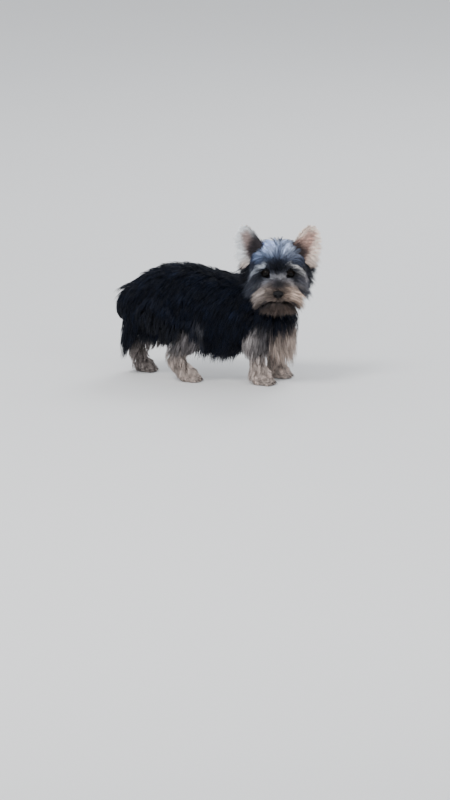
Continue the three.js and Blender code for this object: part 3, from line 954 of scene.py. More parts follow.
@dataclass(frozen=True)
class Patch:
    """A patch of colour with soft edges, on both sides or only where it is placed."""

    colour: Colour
    at: tuple[float, float, float]
    reach: tuple[float, float, float]
    strength: float = 1.0
    edge: float = 1.5
    both: bool = True

    def share(self, own: Array) -> Array:
        """How much of the patch shows at places.

        Args:
            own: places in the patch's frame.

        Returns:
            A share for each place.
        """
        folded = own.copy()
        if self.both:
            folded[:, 1] = np.abs(folded[:, 1])
        gap = (folded - np.array(self.at)) / np.array(self.reach)
        return self.strength * np.exp(-(np.sum(gap**2, -1) ** self.edge))


def streaked(colours: Array, places: Array, size: float, seed: int, strength: Any) -> Array:
    """Colours with soft random light and dark over places.

    Args:
        colours: a colour for each place.
        places: the places, shrunk along the streaks.
        size: length of the waves across the streaks.
        seed: start of the draws.
        strength: how strong the light and dark are.

    Returns:
        The colours, changed.
    """
    waves, even = 7, 2.6
    draws = np.random.default_rng(seed)
    ways = unit(draws.normal(size=(waves, 3))) * 2 * math.pi / size
    swell = np.sin(places @ ways.T + draws.uniform(0, 2 * math.pi, waves)).sum(1) / even
    return colours * np.exp(strength * swell)[:, None]


@dataclass(frozen=True)
class Markings:
    """The dog's colours, as patches over its body and its head."""

    black: Colour = (0.0035, 0.0056, 0.013)
    steel: Colour = (0.075, 0.1, 0.18)
    silver: Colour = (0.62, 0.74, 1.0)
    grey: Colour = (0.15, 0.148, 0.16)
    dusk: Colour = (0.085, 0.089, 0.112)
    ash: Colour = (0.34, 0.335, 0.36)
    pale: Colour = (0.72, 0.74, 0.78)
    tan: Colour = (0.35, 0.27, 0.225)
    gold: Colour = (0.62, 0.5, 0.43)
    brown: Colour = (0.08, 0.057, 0.046)

    def head(self, points: Array) -> Array:
        """Colours of the head.

        Args:
            points: places in the dog's frame.

        Returns:
            A colour for each place.
        """
        own = HEAD.own(points)
        patches = (
            Patch(self.steel, (-18, 10, 26), (22, 17, 15)),
            Patch(self.silver, (-12, 8, 29), (16, 10.5, 10), 0.95),
            Patch(self.dusk, (-6, 27, -9), (19, 15, 21)),
            Patch(self.grey, (2, 24, -14), (9, 12, 5), 0.8),
            Patch(self.dusk, (6, 8, -6), (14, 14, 10)),
            Patch(self.ash, (7, 3, -5), (6, 8, 3.4), 0.75),
            Patch(self.ash, (10, 11, -11), (8, 5.5, 3.5), 0.85),
            # Black round the eyes: partly dark hair, partly painted shade of the eye sockets.
            Patch(self.black, (-1, 17, -1.2), (9, 8.2, 7.8), 0.95, 3.0),
            Patch(self.black, (0, 1, 5.5), (9, 6.5, 8.5), 0.96, 2.0),
            Patch(self.pale, (-2, 18, 11.2), (7, 8, 2.0), 0.75),
            Patch(self.pale, (-6, 25, 6.5), (6, 6, 3.6), 0.65),
            Patch(self.ash, (-10, 29, -1), (6, 5, 6), 0.5),
            Patch(self.tan, (22, 13, -21), (17, 20, 11.5)),
            Patch(self.gold, (18, 18, -20), (14, 10, 8), 0.75),
            # The chin's dark brown: partly the beard's own darker tan, partly painted shade under the
            # moustache.
            Patch(self.brown, (10, 4, -39), (32, 26, 13), 0.93),
            Patch(self.black, (23, 0, -10), (9, 5.5, 5), 0.82),
            Patch(self.brown, (29, 0, -19.5), (5, 8.8, 6.8), 0.8, 3.0),
        )
        colours = self.layered(own, patches)
        top, face = smooth(own[:, 2:], 14, 24), 1 - smooth(own[:, 2:], 2, 10)
        crown = 0.3 + 0.15 * top[:, 0]
        colours = streaked(colours, own * (0.5, 1, 0.8), size=3.8, seed=3, strength=crown)
        # Painted light and shade: the face is painted warmer and lighter on its left and darker on its right,
        # as a lit and a shaded side; the crown is made darker on its left.
        left = np.tanh(own[:, 1:2] / 14)
        colours *= 1 + left * (np.array([0.08, 0.02, -0.05]) + 0.24 * face - 0.25 * top)
        front = smooth(own[:, 0], 16, 23) * (1 - smooth(np.abs(own[:, 1]), 10, 16))
        lips = np.exp(-((Body.above_mouth(own) / 2.6) ** 4)) * front
        return towards(colours, self.black, 0.93 * lips)

    def body(self, points: Array) -> Array:
        """Colours of the trunk and neck.

        Args:
            points: places in the dog's frame.

        Returns:
            A colour for each place.
        """
        patches = (
            Patch(self.gold, (100, 0, 58), (34, 44, 25), 0.75, 3.0),
            Patch(self.grey, (-24, -34, 82), (8, 14, 14), 0.45, both=False),
        )
        colours = self.layered(points, patches)
        return streaked(colours, points * (1, 1, 0.5), size=13.0, seed=4, strength=0.35)

    def leg(self, points: Array) -> Array:
        """Colours of the legs and feet.

        Args:
            points: places in the dog's frame.

        Returns:
            A colour for each place.
        """
        x, y, z = points.T
        fore, far = x > 0, y > 0
        # Where the black of the body begins: higher in front, and rising forward over the near thigh.
        high = np.where(fore, 86.0, np.where(far, 56.0, 52.0 + np.clip((x + 60) * 1.6, 0, 44)))
        pale = 1 - smooth(z, high, high + 22)
        # The near fore leg is palest along its back; the dark along its front is painted shade.
        band = 0.6 + 0.4 * np.exp(-(((x - 57) / 7) ** 2)) - 0.4 * np.exp(-(((x - 75) / 5) ** 2))
        strip = np.where(fore, np.where(far, 0.9, band), 0.42)
        # The far hind foot takes less of the gold: painted shade on the far hind leg.
        foot = (1 - smooth(z, 36, 62)) * np.where(~fore & far, 0.35, 0.9)
        gold = np.array(self.gold)
        shade = towards(np.array(self.black), np.array(self.ash) * 0.6 + gold * 0.26, pale * strip)
        shade = towards(shade, gold * 0.77 + np.array(self.pale) * 0.1, foot)
        return streaked(shade, points * (1.4, 1, 0.5), size=8.0, seed=5, strength=0.35)

    def layered(self, places: Array, patches: Sequence[Patch]) -> Array:
        """The black coat with patches of colour laid over it in order.

        Args:
            places: places in the patches' own frame.
            patches: the patches.

        Returns:
            A colour for each place.
        """
        colours = np.broadcast_to(self.black, places.shape)
        for patch in patches:
            colours = towards(colours, patch.colour, patch.share(places))
        return colours


@dataclass(frozen=True)
class TuftKind:
    """How the strands of a tuft are made, with sizes in millimetres.

    A tuft has several strands, spread at the root and clumped towards the tip, and every few tufts
    gather to a lock. Rings are shares of the way along a strand, and the girth table says how much
    of its width and thickness is left at such shares.
    """

    strands: int = 7
    wide: float = 0.85
    thick: float = 0.45
    spread: float = 2.6
    clump: float = 0.55
    wave: float = 0.9
    splay: float = 1.6
    roll: float = 0.7
    shortest: float = 0.72
    uneven: float = 0.25
    lock: int = 7
    gather: float = 0.45
    rings: tuple[float, ...] = (0.0, 0.36, 0.72)
    girth_at: tuple[float, ...] = (0, 0.35, 0.72, 1.0)
    girth: tuple[float, ...] = (0.8, 1.0, 0.72, 0.0)


class Hide:
    """A surface that hair grows on and lies over.

    A hair is laid in strides. It rises to its lift early, sags under its weight, and clings to the
    surface where it is no higher above its lift than the loose height, in millimetres.
    """

    strides: int = 6
    rise: float = 1.35
    start: float = 0.08
    sag: float = 0.5
    loose: float = 5.0
    memory: float = 0.4

    def __init__(self, shell: Shell, sink: float = 1.0) -> None:
        """Keeps a search tree of the surface, and how deep roots sit in it."""
        self.tree = shell.tree()
        self.sink = sink

    def nearest(self, points: Array) -> tuple[Array, Array, Array]:
        """Nearest places on the surface.

        Args:
            points: places in millimetres.

        Returns:
            The places found, which way the surface faces there, and how far off they are.
        """
        found = [self.tree.find_nearest(point) for point in points.tolist()]
        spots = np.array([hit[0] for hit in found])
        faces = np.array([hit[1] for hit in found])
        return spots, faces, np.array([hit[3] for hit in found])

    def comb(self, growth: Growth) -> tuple[Array, Array]:
        """Lays one guide hair for each tuft along the surface.

        Args:
            growth: where and how the tufts grow.

        Returns:
            Places along each hair, and which way is outward there.
        """
        spot, normal, _ = self.nearest(growth.root)
        at = spot - self.sink * normal
        stride = growth.long[:, None] / self.strides
        cling, lift, weight = growth.cling[:, None], growth.lift[:, None], growth.weight[:, None]
        heading = self.laid(growth.lie, normal, cling)
        places, ways = [at], [normal]
        for step in range(1, self.strides + 1):
            t = step / self.strides
            at = at + heading * stride
            spot, found, _ = self.nearest(at)
            normal = unit(normal * self.memory + found * (1 - self.memory))
            height = dot(at - spot, normal)
            wanted = lift * (1 - (1 - min(self.rise * t + self.start, 1)) ** 2)
            at = at + normal * (wanted - height) * np.where(height < wanted, 1.0, cling)
            heading = unit(heading - UP * weight * t * self.sag)
            heading = self.laid(heading, normal, cling * (height < wanted + self.loose))
            places.append(at)
            ways.append(normal)
        return np.stack(places, 1), np.stack(ways, 1)

    @staticmethod
    def laid(heading: Array, normal: Array, cling: Array) -> Array:
        """Directions that no longer run into the surface, and leave it less the more they cling."""
        leaving = dot(heading, normal)
        return unit(heading - normal * leaving * np.where(leaving < 0, 1.0, cling))


class Coat:
    """Grows tufts of solid strands along guide hairs.

    Each tuft has a patch on the bake map, whose middle keeps a margin from the map's edges. A lock
    gathers tufts within its reach, and no strand goes lower than the ground, in millimetres. Corners
    are those of a strand's section, in half widths and in thicknesses.
    """

    patch: float = 0.003
    margin: float = 0.01
    reach: float = 12.0
    ground: float = 0.4
    corners: tuple[tuple[float, float], ...] = ((-1, -0.33), (0, 0.66), (1, -0.33))

    def __init__(self, packed: Packed, seed: int) -> None:
        """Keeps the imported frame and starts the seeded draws."""
        self.packed = packed
        self.draws = np.random.default_rng(seed)

    @staticmethod
    def along(rows: Array, share: Array) -> Array:
        """Values at shares of the way along each row of places.

        Args:
            rows: a row of places for each tuft.
            share: shares, the first axis being the tufts.

        Returns:
            A value for each share.
        """
        steps = rows.shape[1] - 1
        spot = np.clip(share * steps, 0, steps - 1e-6)
        low = spot.astype(int)
        tuft = np.arange(len(rows)).reshape(-1, *([1] * (share.ndim - 1)))
        part = (spot - low)[..., None]
        return rows[tuft, low] * (1 - part) + rows[tuft, low + 1] * part

    def gathered(self, places: Array, growth: Growth, kind: TuftKind) -> Array:
        """Draws guide hairs together towards their tips, a few tufts to a lock.

        Args:
            places: places along the hairs.
            growth: how they grow.
            kind: sizes of the tufts.

        Returns:
            The places, moved.
        """
        leads = np.arange(0, len(places), kind.lock)
        gaps = np.linalg.norm(growth.root[:, None] - growth.root[leads][None], axis=-1)
        lead = leads[gaps.argmin(1)]
        alike = smooth(dot(growth.lie, growth.lie[lead])[:, 0], 0.5, 0.9) * (gaps.min(1) < self.reach)
        pull = kind.gather * np.linspace(0, 1, places.shape[1]) ** 1.5
        return places + (places[lead] - places) * alike[:, None, None] * pull[None, :, None]

    def grow(
        self, name: str, growth: Growth, hide: Hide, kind: TuftKind, eyes: Eyes | None = None
    ) -> bpy.types.Object:
        """Makes one piece of coat.

        Args:
            name: name of the piece.
            growth: where and how its tufts grow.
            hide: the surface they lie over.
            kind: sizes of their strands.
            eyes: eyes that no strand may hang over, if any are near.

        Returns:
            The mesh object, with its markings, strand shares and bake map.
        """
        places, ways = hide.comb(growth)
        places = self.gathered(places, growth, kind)
        count, strands, rings = len(growth.root), kind.strands, len(kind.rings)
        stops = np.append(kind.rings, 1.0)
        t = stops * self.draws.uniform(kind.shortest, 1.0, (count, strands, 1))
        centre, normal = self.along(places, t), unit(self.along(ways, t))
        ahead = unit(np.gradient(centre, axis=2))
        side = unit(np.cross(ahead, normal))
        out = np.cross(side, ahead)
        draw = self.draws.uniform(-1, 1, (6, count, strands, 1, 1))
        close = (1 - kind.clump * t)[..., None]
        rise = t[..., None]
        swing = np.sin(2 * math.pi * (rise * (0.8 + 0.5 * draw[4]) + draw[5])) * kind.wave * rise
        centre = centre + side * (draw[0] * kind.spread * close + swing)
        centre = centre + ahead[:, :, :1] * draw[1] * kind.spread * close
        centre = centre + out * (draw[2] * 0.5 + 0.5) * kind.splay * rise
        roll = draw[3] * kind.roll
        flat, edge = side * np.cos(roll) + out * np.sin(roll), out * np.cos(roll) - side * np.sin(roll)
        taper = np.interp(stops, kind.girth_at, kind.girth)
        girth = taper[None, None, :, None] * (1 + kind.uneven * draw[5])
        corners = [
            centre + flat * (across * kind.wide / 2) * girth + edge * (lift * kind.thick) * girth
            for across, lift in self.corners
        ]
        each = rings * 3 + 1
        body = np.stack(corners, 3)[:, :, :rings].reshape(count * strands, rings * 3, 3)
        tip = centre[:, :, rings].reshape(count * strands, 1, 3)
        points = np.concatenate([body, tip], 1)
        kept = np.ones(count * strands, bool) if eyes is None else ~eyes.hidden_by(points)
        points = points[kept].reshape(-1, 3)
        points[:, 2] = np.maximum(points[:, 2], self.ground)
        starts = np.arange(kept.sum())[:, None, None] * each
        made = self.packed.mesh(name, Shell(points, (self.strand_faces(rings) + starts).reshape(-1, 3)))
        tuft = np.repeat(np.arange(count), strands)[kept]
        chances = self.draws.random(count * strands)[kept], self.draws.random(count)[tuft]
        along = np.tile(np.repeat(stops, [3] * rings + [1]), len(tuft))
        measure(made, "strand", np.stack([along, *(np.repeat(chance, each) for chance in chances)], -1))
        paint(made, "markings", np.repeat(growth.colour[tuft], each, 0))
        across = np.tile(np.linspace(-0.5, 0.5, strands), count)[kept]
        small = np.stack([np.repeat(across, each), along - 0.5], -1) * self.patch
        middles = self.margin + (1 - 2 * self.margin) * growth.uv[tuft]
        self.unwrap(made, np.repeat(middles, each, 0) + small)
        return made

    @staticmethod
    def unwrap(made: bpy.types.Object, spots: Array) -> None:
        """Stores the bake map: each tuft a small patch at its root's place on the unwrapped skin.

        Args:
            made: the piece.
            spots: a place on the map for each point.
        """
        index = np.zeros(len(made.data.loops), np.int32)
        made.data.loops.foreach_get("vertex_index", index)
        store(made.data.uv_layers.new(name="OFBake").data, "uv", spots[index])

    @staticmethod
    def strand_faces(rings: int) -> Array:
        """Triangles of one strand: three sides, a closed root and a pointed tip.

        Args:
            rings: its rings of three points.

        Returns:
            Three indices a row.
        """
        sides = grid_faces(rings, 3, True)
        last = 3 * (rings - 1)
        tip = [[last + k, last + (k + 1) % 3, 3 * rings] for k in range(3)]
        return np.concatenate([[[0, 2, 1]], sides, tip])


@dataclass
class Eyes:
    """Eyeballs with a bulging cornea, and the lids round them.

    The place is that of the left eye in the head, and the eyes look outward by the toe, in degrees.
    Each row of the lids is a ring: its size against the opening, and how far it is from the
    eyeball's middle. Skin before an eyeball, within the socket, is drawn back to the sunk radius.
    """

    place: tuple[float, float, float] = (-5.0, 16.5, 0.0)
    radius: float = 8.0
    cornea: float = 1.0
    toe: float = 14.0
    wide: float = 13.6
    upper: float = 5.6
    lower: float = 4.8
    rings: int = 49
    sides: int = 64
    lid_sides: int = 72
    lid_rows: tuple[tuple[float, float], ...] = (
        (0.95, 7.2), (0.98, 8.1), (1.0, 8.7), (1.04, 9.1), (1.12, 9.35), (1.25, 9.4), (1.45, 9.3),
        (1.7, 9.0), (1.95, 8.4), (2.1, 7.4),
    )
    socket: float = 10.5
    sunk_radius: float = 7.0

    def centre(self, side: Side) -> Array:
        """Middle of an eyeball."""
        f, l, u = self.place
        return HEAD.place((f, side.value * l, u))

    def axes(self, side: Side) -> Array:
        """The directions of an eye.

        Args:
            side: the dog's left or right.

        Returns:
            Where it looks, its outward side and its up, as rows.
        """
        toe = math.radians(self.toe) * side.value
        ahead = HEAD.way((math.cos(toe), math.sin(toe), 0))
        outward = HEAD.way((-math.sin(toe), math.cos(toe), 0)) * side.value
        return np.array([ahead, outward, HEAD.way((0, 0, 1))])

    def on_ball(self, side: Side, across: Array, up: Array, radius: Array) -> Array:
        """Places about an eye, by arc lengths on the eyeball from its axis and by radius."""
        away = directions(np.hypot(across, up) / self.radius, np.arctan2(up, across))
        return self.centre(side) + radius[..., None] * (away @ self.axes(side))

    def ball(self, packed: Packed, side: Side) -> bpy.types.Object:
        """Makes an eyeball whose points carry their tilt off its axis and their turn.

        Args:
            packed: makes the objects.
            side: the dog's left or right.

        Returns:
            The eyeball.
        """
        tilt, turn = np.linspace(0.0, math.pi, self.rings), circle(self.sides)
        bulge = self.cornea * np.exp(-((tilt / 0.62) ** 4))
        arc = tilt[:, None] * self.radius
        radius = (self.radius + bulge)[:, None] + 0 * turn
        shell = tube(self.on_ball(side, arc * np.cos(turn), arc * np.sin(turn), radius))
        made = packed.mesh(f"eyeball_{side.word}", shell)
        off = np.repeat(tilt / math.pi * 2, self.sides)
        ring = np.stack([off, np.tile(turn, self.rings), 0 * off], -1)
        measure(made, "ring", np.concatenate([ring, [[0, 0, 0], [2, 0, 0]]]))
        return made

    def opening(self, turn: Array) -> tuple[Array, Array]:
        """The almond between the lids, by the turn round it from its outer corner."""
        tall = np.where(np.sin(turn) > 0, self.upper, -self.lower) * np.abs(np.sin(turn)) ** 1.2
        return self.wide / 2 * np.cos(turn), tall + 0.6 * np.cos(turn) - 0.1

    def lids(self, side: Side) -> Shell:
        """The lids of an eye, from their wet margin out to where the coat covers them.

        Args:
            side: the dog's left or right.

        Returns:
            A sheet round the opening.
        """
        across, up = self.opening(circle(self.lid_sides))
        rings = [self.on_ball(side, across * k, up * k, radius + 0 * up) for k, radius in self.lid_rows]
        faces = grid_faces(len(rings), self.lid_sides, True)
        return Shell(np.concatenate(rings), faces[:, ::-1] if side is Side.LEFT else faces)

    def sunk(self, points: Array) -> Array:
        """Draws skin in front of an eyeball back inside it.

        Args:
            points: places on the skin.

        Returns:
            The places, moved.
        """
        moved = points.copy()
        for side in Side:
            away = moved - self.centre(side)
            far = np.linalg.norm(away, axis=-1)
            front = (away @ self.axes(side)[0]) / np.maximum(far, TINY)
            inside = (far < self.socket) & (front > 0.2)
            moved[inside] = self.centre(side) + away[inside] / far[inside, None] * self.sunk_radius
        return moved

    def hidden_by(self, strands: Array) -> Array:
        """Finds strands that would hang over the opening of an eye.

        Args:
            strands: strands, points of a strand, three.

        Returns:
            Whether each strand would.
        """
        over = np.zeros(strands.shape[:2], bool)
        for side in Side:
            own = (strands - self.centre(side)) @ self.axes(side).T
            inside = oval(own[..., 1], own[..., 2], self.wide / 2 - 0.6, self.upper - 0.9) < 1
            over |= inside & (own[..., 0] > 0)
        return over.any(1)

    def build(self, packed: Packed) -> None:
        """Makes both eyeballs.

        Args:
            packed: makes the objects.
        """
        material = EyeFinish().material()
        for side in Side:
            packed.wear(self.ball(packed, side), material, Slot.EYE, f"eye_{side.word}")


@dataclass
class Nose:
    """The nose leather, with comma nostrils and the groove between them.

    A nostril is a pit with a slit that runs out of it and a wing above, each an oval: its place to
    the side and up, its half sizes, and how far it goes in, or out where that is below 0.
    """

    f: float = 30.5
    u: float = -19.5
    wide: float = 16.4
    tall: float = 11.5
    deep: float = 9.0
    pit: tuple[float, ...] = (3.7, -0.1, 1.9, 1.35, 3.4)
    slit: tuple[float, ...] = (5.6, -1.3, 1.9, 0.7, 2.0)
    slant: float = 0.25
    wing: tuple[float, ...] = (4.6, 1.9, 2.6, 1.2, -0.6)
    groove: float = 0.7
    rings: int = 97
    sides: int = 128

    def build(self, packed: Packed) -> None:
        """Makes the nose.

        Args:
            packed: makes the objects.
        """
        tilt = np.linspace(0.0, math.pi, self.rings)[:, None]
        ahead, across, up = np.moveaxis(directions(tilt, circle(self.sides)), -1, 0)
        box = np.maximum(np.abs(across), np.abs(up)) / np.maximum(np.hypot(across, up), TINY)
        swell = 1 + 0.1 * (1 - box) * np.sin(tilt)
        f = self.deep / 2 * np.sign(ahead) * np.abs(ahead) ** 0.8
        l = self.wide / 2 * across * swell * (1 - 0.42 * smooth(-up, -0.3, 0.9))
        u = self.tall / 2 * up * swell + 0.4
        front = smooth(ahead, 0.0, 0.5)
        ovals = ((self.pit, 0.0, 2), (self.slit, self.slant, 1), (self.wing, 0.0, 1))
        for side in (-1, 1):
            out = l * side
            for (at, high, *halves, depth), slant, edge in ovals:
                inside = oval(out - at, u - high - slant * (out - 5), *halves)
                f = f - front * depth * np.exp(-(inside**edge))
        f = f - front * np.exp(-((l / self.groove) ** 2)) * smooth(-u, -1.0, 1.5)
        made = packed.mesh("nose_leather", tube(HEAD.place(np.stack([self.f + f, l, self.u + u], -1))))
        packed.wear(made, NoseFinish().material(), Slot.NOSE, "nose")


@dataclass(frozen=True)
class EarTone:
    """Colours of one ear, and where the dark low down in its hollow ends.

    The dark is a share of brown over black: partly dark hair at the ear's root, partly painted
    shade in the hollow. It ends at a height, as a share of the ear's, on a slant from the inner
    to the outer edge, softly over the fade.
    """

    edge: Colour
    inside: Colour
    brown: float
    height: float
    slant: float
    fade: float = 0.16


@dataclass
class Ears:
    """Thin cupped leaves, hollow side forward.

    Places and directions are those of the left ear in the head. A leaf has half widths at shares of
    its height, and its middle lies behind its edges by the cup at the root.
    """

    tones: dict[Side, EarTone] = field(default_factory=lambda: {
        Side.RIGHT: EarTone((0.9, 0.92, 0.94), (0.4, 0.31, 0.29), 0.16, 0.46, 0.25),
        Side.LEFT: EarTone((1.0, 0.86, 0.76), (0.66, 0.44, 0.37), 0.45, 0.4, 0.05),
    })
    base: tuple[float, float, float] = (-23.0, 30.0, 10.0)
    tip: tuple[float, float, float] = (-30.0, 50.0, 62.5)
    across: tuple[float, float, float] = (-0.25, 0.88, -0.4)
    thick: float = 1.8
    cup: float = 7.0
    heights: tuple[float, ...] = (0, 0.12, 0.32, 0.52, 0.72, 0.88, 1)
    halves: tuple[float, ...] = (11, 15, 17.5, 16.5, 13, 8.5, 3.5)
    rings: int = 41
    sides: int = 56
    sheet_grid: tuple[int, int] = (31, 21)
    seed: int = 31

    def axes(self, side: Side) -> tuple[Array, Array, Array, Array]:
        """The directions of an ear.

        Args:
            side: the dog's left or right.

        Returns:
            Its root, its height, the way across and the way its hollow faces.
        """
        flip = np.array([1, side.value, 1])
        base = HEAD.place(np.array(self.base) * flip)
        height = HEAD.place(np.array(self.tip) * flip) - base
        across = HEAD.way(np.array(self.across) * flip)
        front = unit(np.cross(across, unit(height)) * side.value)
        return base, height, across, front

    def at(self, side: Side, v: Array, w: Array, out: Array) -> Array:
        """Places on an ear.

        Args:
            side: the dog's left or right.
            v: 0 at the root to 1 at the tip.
            w: -1 at the inner edge to 1 at the outer.
            out: how far before the middle of the leaf.

        Returns:
            A place for each.
        """
        base, height, across, front = self.axes(side)
        half = np.interp(v, self.heights, self.halves) - 0.6 * np.sin(v * math.pi)
        depth = (self.cup * np.maximum(1 - v, 0) ** 0.8 + 0.6) * (w**2 - 1) + out
        return base + v[..., None] * height + (w * half)[..., None] * across + depth[..., None] * front

    def leaf(self, side: Side) -> tuple[Shell, Array]:
        """The leaf of an ear.

        Args:
            side: the dog's left or right.

        Returns:
            The closed shape, and v, w and face of each point.
        """
        v, turn = np.linspace(0, 1, self.rings)[:, None], circle(self.sides)
        w, face = np.cos(turn) + 0 * v, np.sign(np.sin(turn)) + 0 * v
        thick = self.thick * (1 - 0.35 * v) / 2 * face * np.abs(np.sin(turn)) ** 0.6
        shell = tube(self.at(side, v + 0 * w, w, thick))
        if side is Side.LEFT:
            shell.faces = shell.faces[:, ::-1]
        spots = np.stack([v + 0 * w, w, face], -1).reshape(-1, 3)
        return shell, np.concatenate([spots, [[0, 0, 1], [1, 0, 1]]])

    def sheet(self, side: Side, face: int) -> Shell:
        """One face of an ear, as an open sheet that looks outward.

        Args:
            side: the dog's left or right.
            face: 1 for the hollow, -1 for the back.

        Returns:
            The sheet.
        """
        rows, columns = self.sheet_grid
        v, w = np.meshgrid(np.linspace(0, 1, rows), np.linspace(-1, 1, columns), indexing="ij")
        points = self.at(side, v, w, np.full_like(v, face * self.thick / 2)).reshape(-1, 3)
        faces = grid_faces(rows, columns, False)
        a, b, c = (points[faces[:, k]] for k in range(3))
        looks = np.cross(b - a, c - a).sum(0) @ self.axes(side)[3]
        return Shell(points, faces if looks * face > 0 else faces[:, ::-1])

    def colours(self, side: Side, spots: Array, markings: Markings) -> Array:
        """Colours of an ear: pale at its edges and tip, dark low down on its inner side, partly as painted
        shade, and dark behind.

        Args:
            side: the dog's left or right.
            spots: rows of v, w and face.
            markings: the dog's colours.

        Returns:
            A colour for each spot.
        """
        v, w, face = spots.T
        tone, black, gold = self.tones[side], np.array(markings.black), np.array(markings.gold)
        # The dark low in the hollow is partly the ear's dark root hair and partly painted shade.
        dark = np.array(markings.brown) * tone.brown + black
        low = 1 - smooth(v + tone.slant * w, tone.height - tone.fade, tone.height + tone.fade)
        edge = np.maximum(smooth(w, 0.1, 0.65), smooth(v, 0.72, 0.93))
        edge = np.maximum(edge, 0.8 * smooth(-w, 0.5, 0.9) * smooth(v, 0.45, 0.6))
        colour = towards(np.array(tone.inside), tone.edge, edge)
        colour = towards(colour, dark, 0.95 * low * (1 - smooth(w, 0.0, 0.6)))
        colour = towards(colour, gold * 0.8, 0.8 * smooth(w, 0.3, 0.7) * (1 - smooth(v, 0.1, 0.3)))
        behind = towards(black, gold, smooth(v, 0.3, 0.8))
        behind = towards(behind, tone.edge, smooth(-w, 0.55, 0.85) * smooth(v, 0.4, 0.6))
        return towards(colour, behind, (face < 0) * (1 - smooth(w, 0.55, 0.9)))

    def growth(
        self, side: Side, face: int, count: int, draws: np.random.Generator, markings: Markings
    ) -> Growth:
        """Tufts over one face of an ear and along its edges.

        Args:
            side: the dog's left or right.
            face: 1 for the hollow, -1 for the back.
            count: how many tufts.
            draws: random draws.
            markings: the dog's colours.

        Returns:
            Where and how the tufts grow.
        """
        _, height, across, _ = self.axes(side)
        pairs = even_pairs(count, self.seed + side.value + face)
        v = 0.02 + 0.97 * (1 - (1 - pairs[:, 1]) ** 0.8)
        w = 2 * pairs[:, 0] - 1
        root = self.at(side, v, w, np.full(count, face * self.thick / 2))
        outer, low, inner = smooth(w, 0.2, 1.0), 1 - smooth(v, 0.1, 0.6), smooth(-w, 0.4, 0.9)
        # Hair of the hollow is combed outward, and hair of the back up and to both edges.
        if face > 0:
            rise = 0.22 - 0.5 * low * outer + 0.9 * v**3 + 0.9 * inner
            reach = 1 - 0.6 * inner
            long = 11.5 + 2 * outer
        else:
            rise = 0.9 - 1.2 * low * outer
            reach = 0.6 * w
            long = 7.5 + 3 * outer - 2 * inner
        lie = across * reach[:, None] + unit(height) * rise[:, None]
        long = (long + 10 * outer * low) * (1 - 0.4 * smooth(v, 0.75, 1.0)) * draws.uniform(0.8, 1.15, count)
        uv = np.stack([0.02 + 0.44 * pairs[:, 0] + (0.0 if face > 0 else 0.5), v * 0.96 + 0.02], -1)
        colour = self.colours(side, np.stack([v, w, np.full(count, face)], -1), markings)
        colour = streaked(colour, root * (0.5, 0.5, 1.6), size=6.0, seed=6, strength=0.22)
        weight = 0.12 + 0.3 * outer * low
        return Growth(root, unit(lie), long, lift=1.5, cling=0.35, weight=weight, colour=colour, uv=uv)


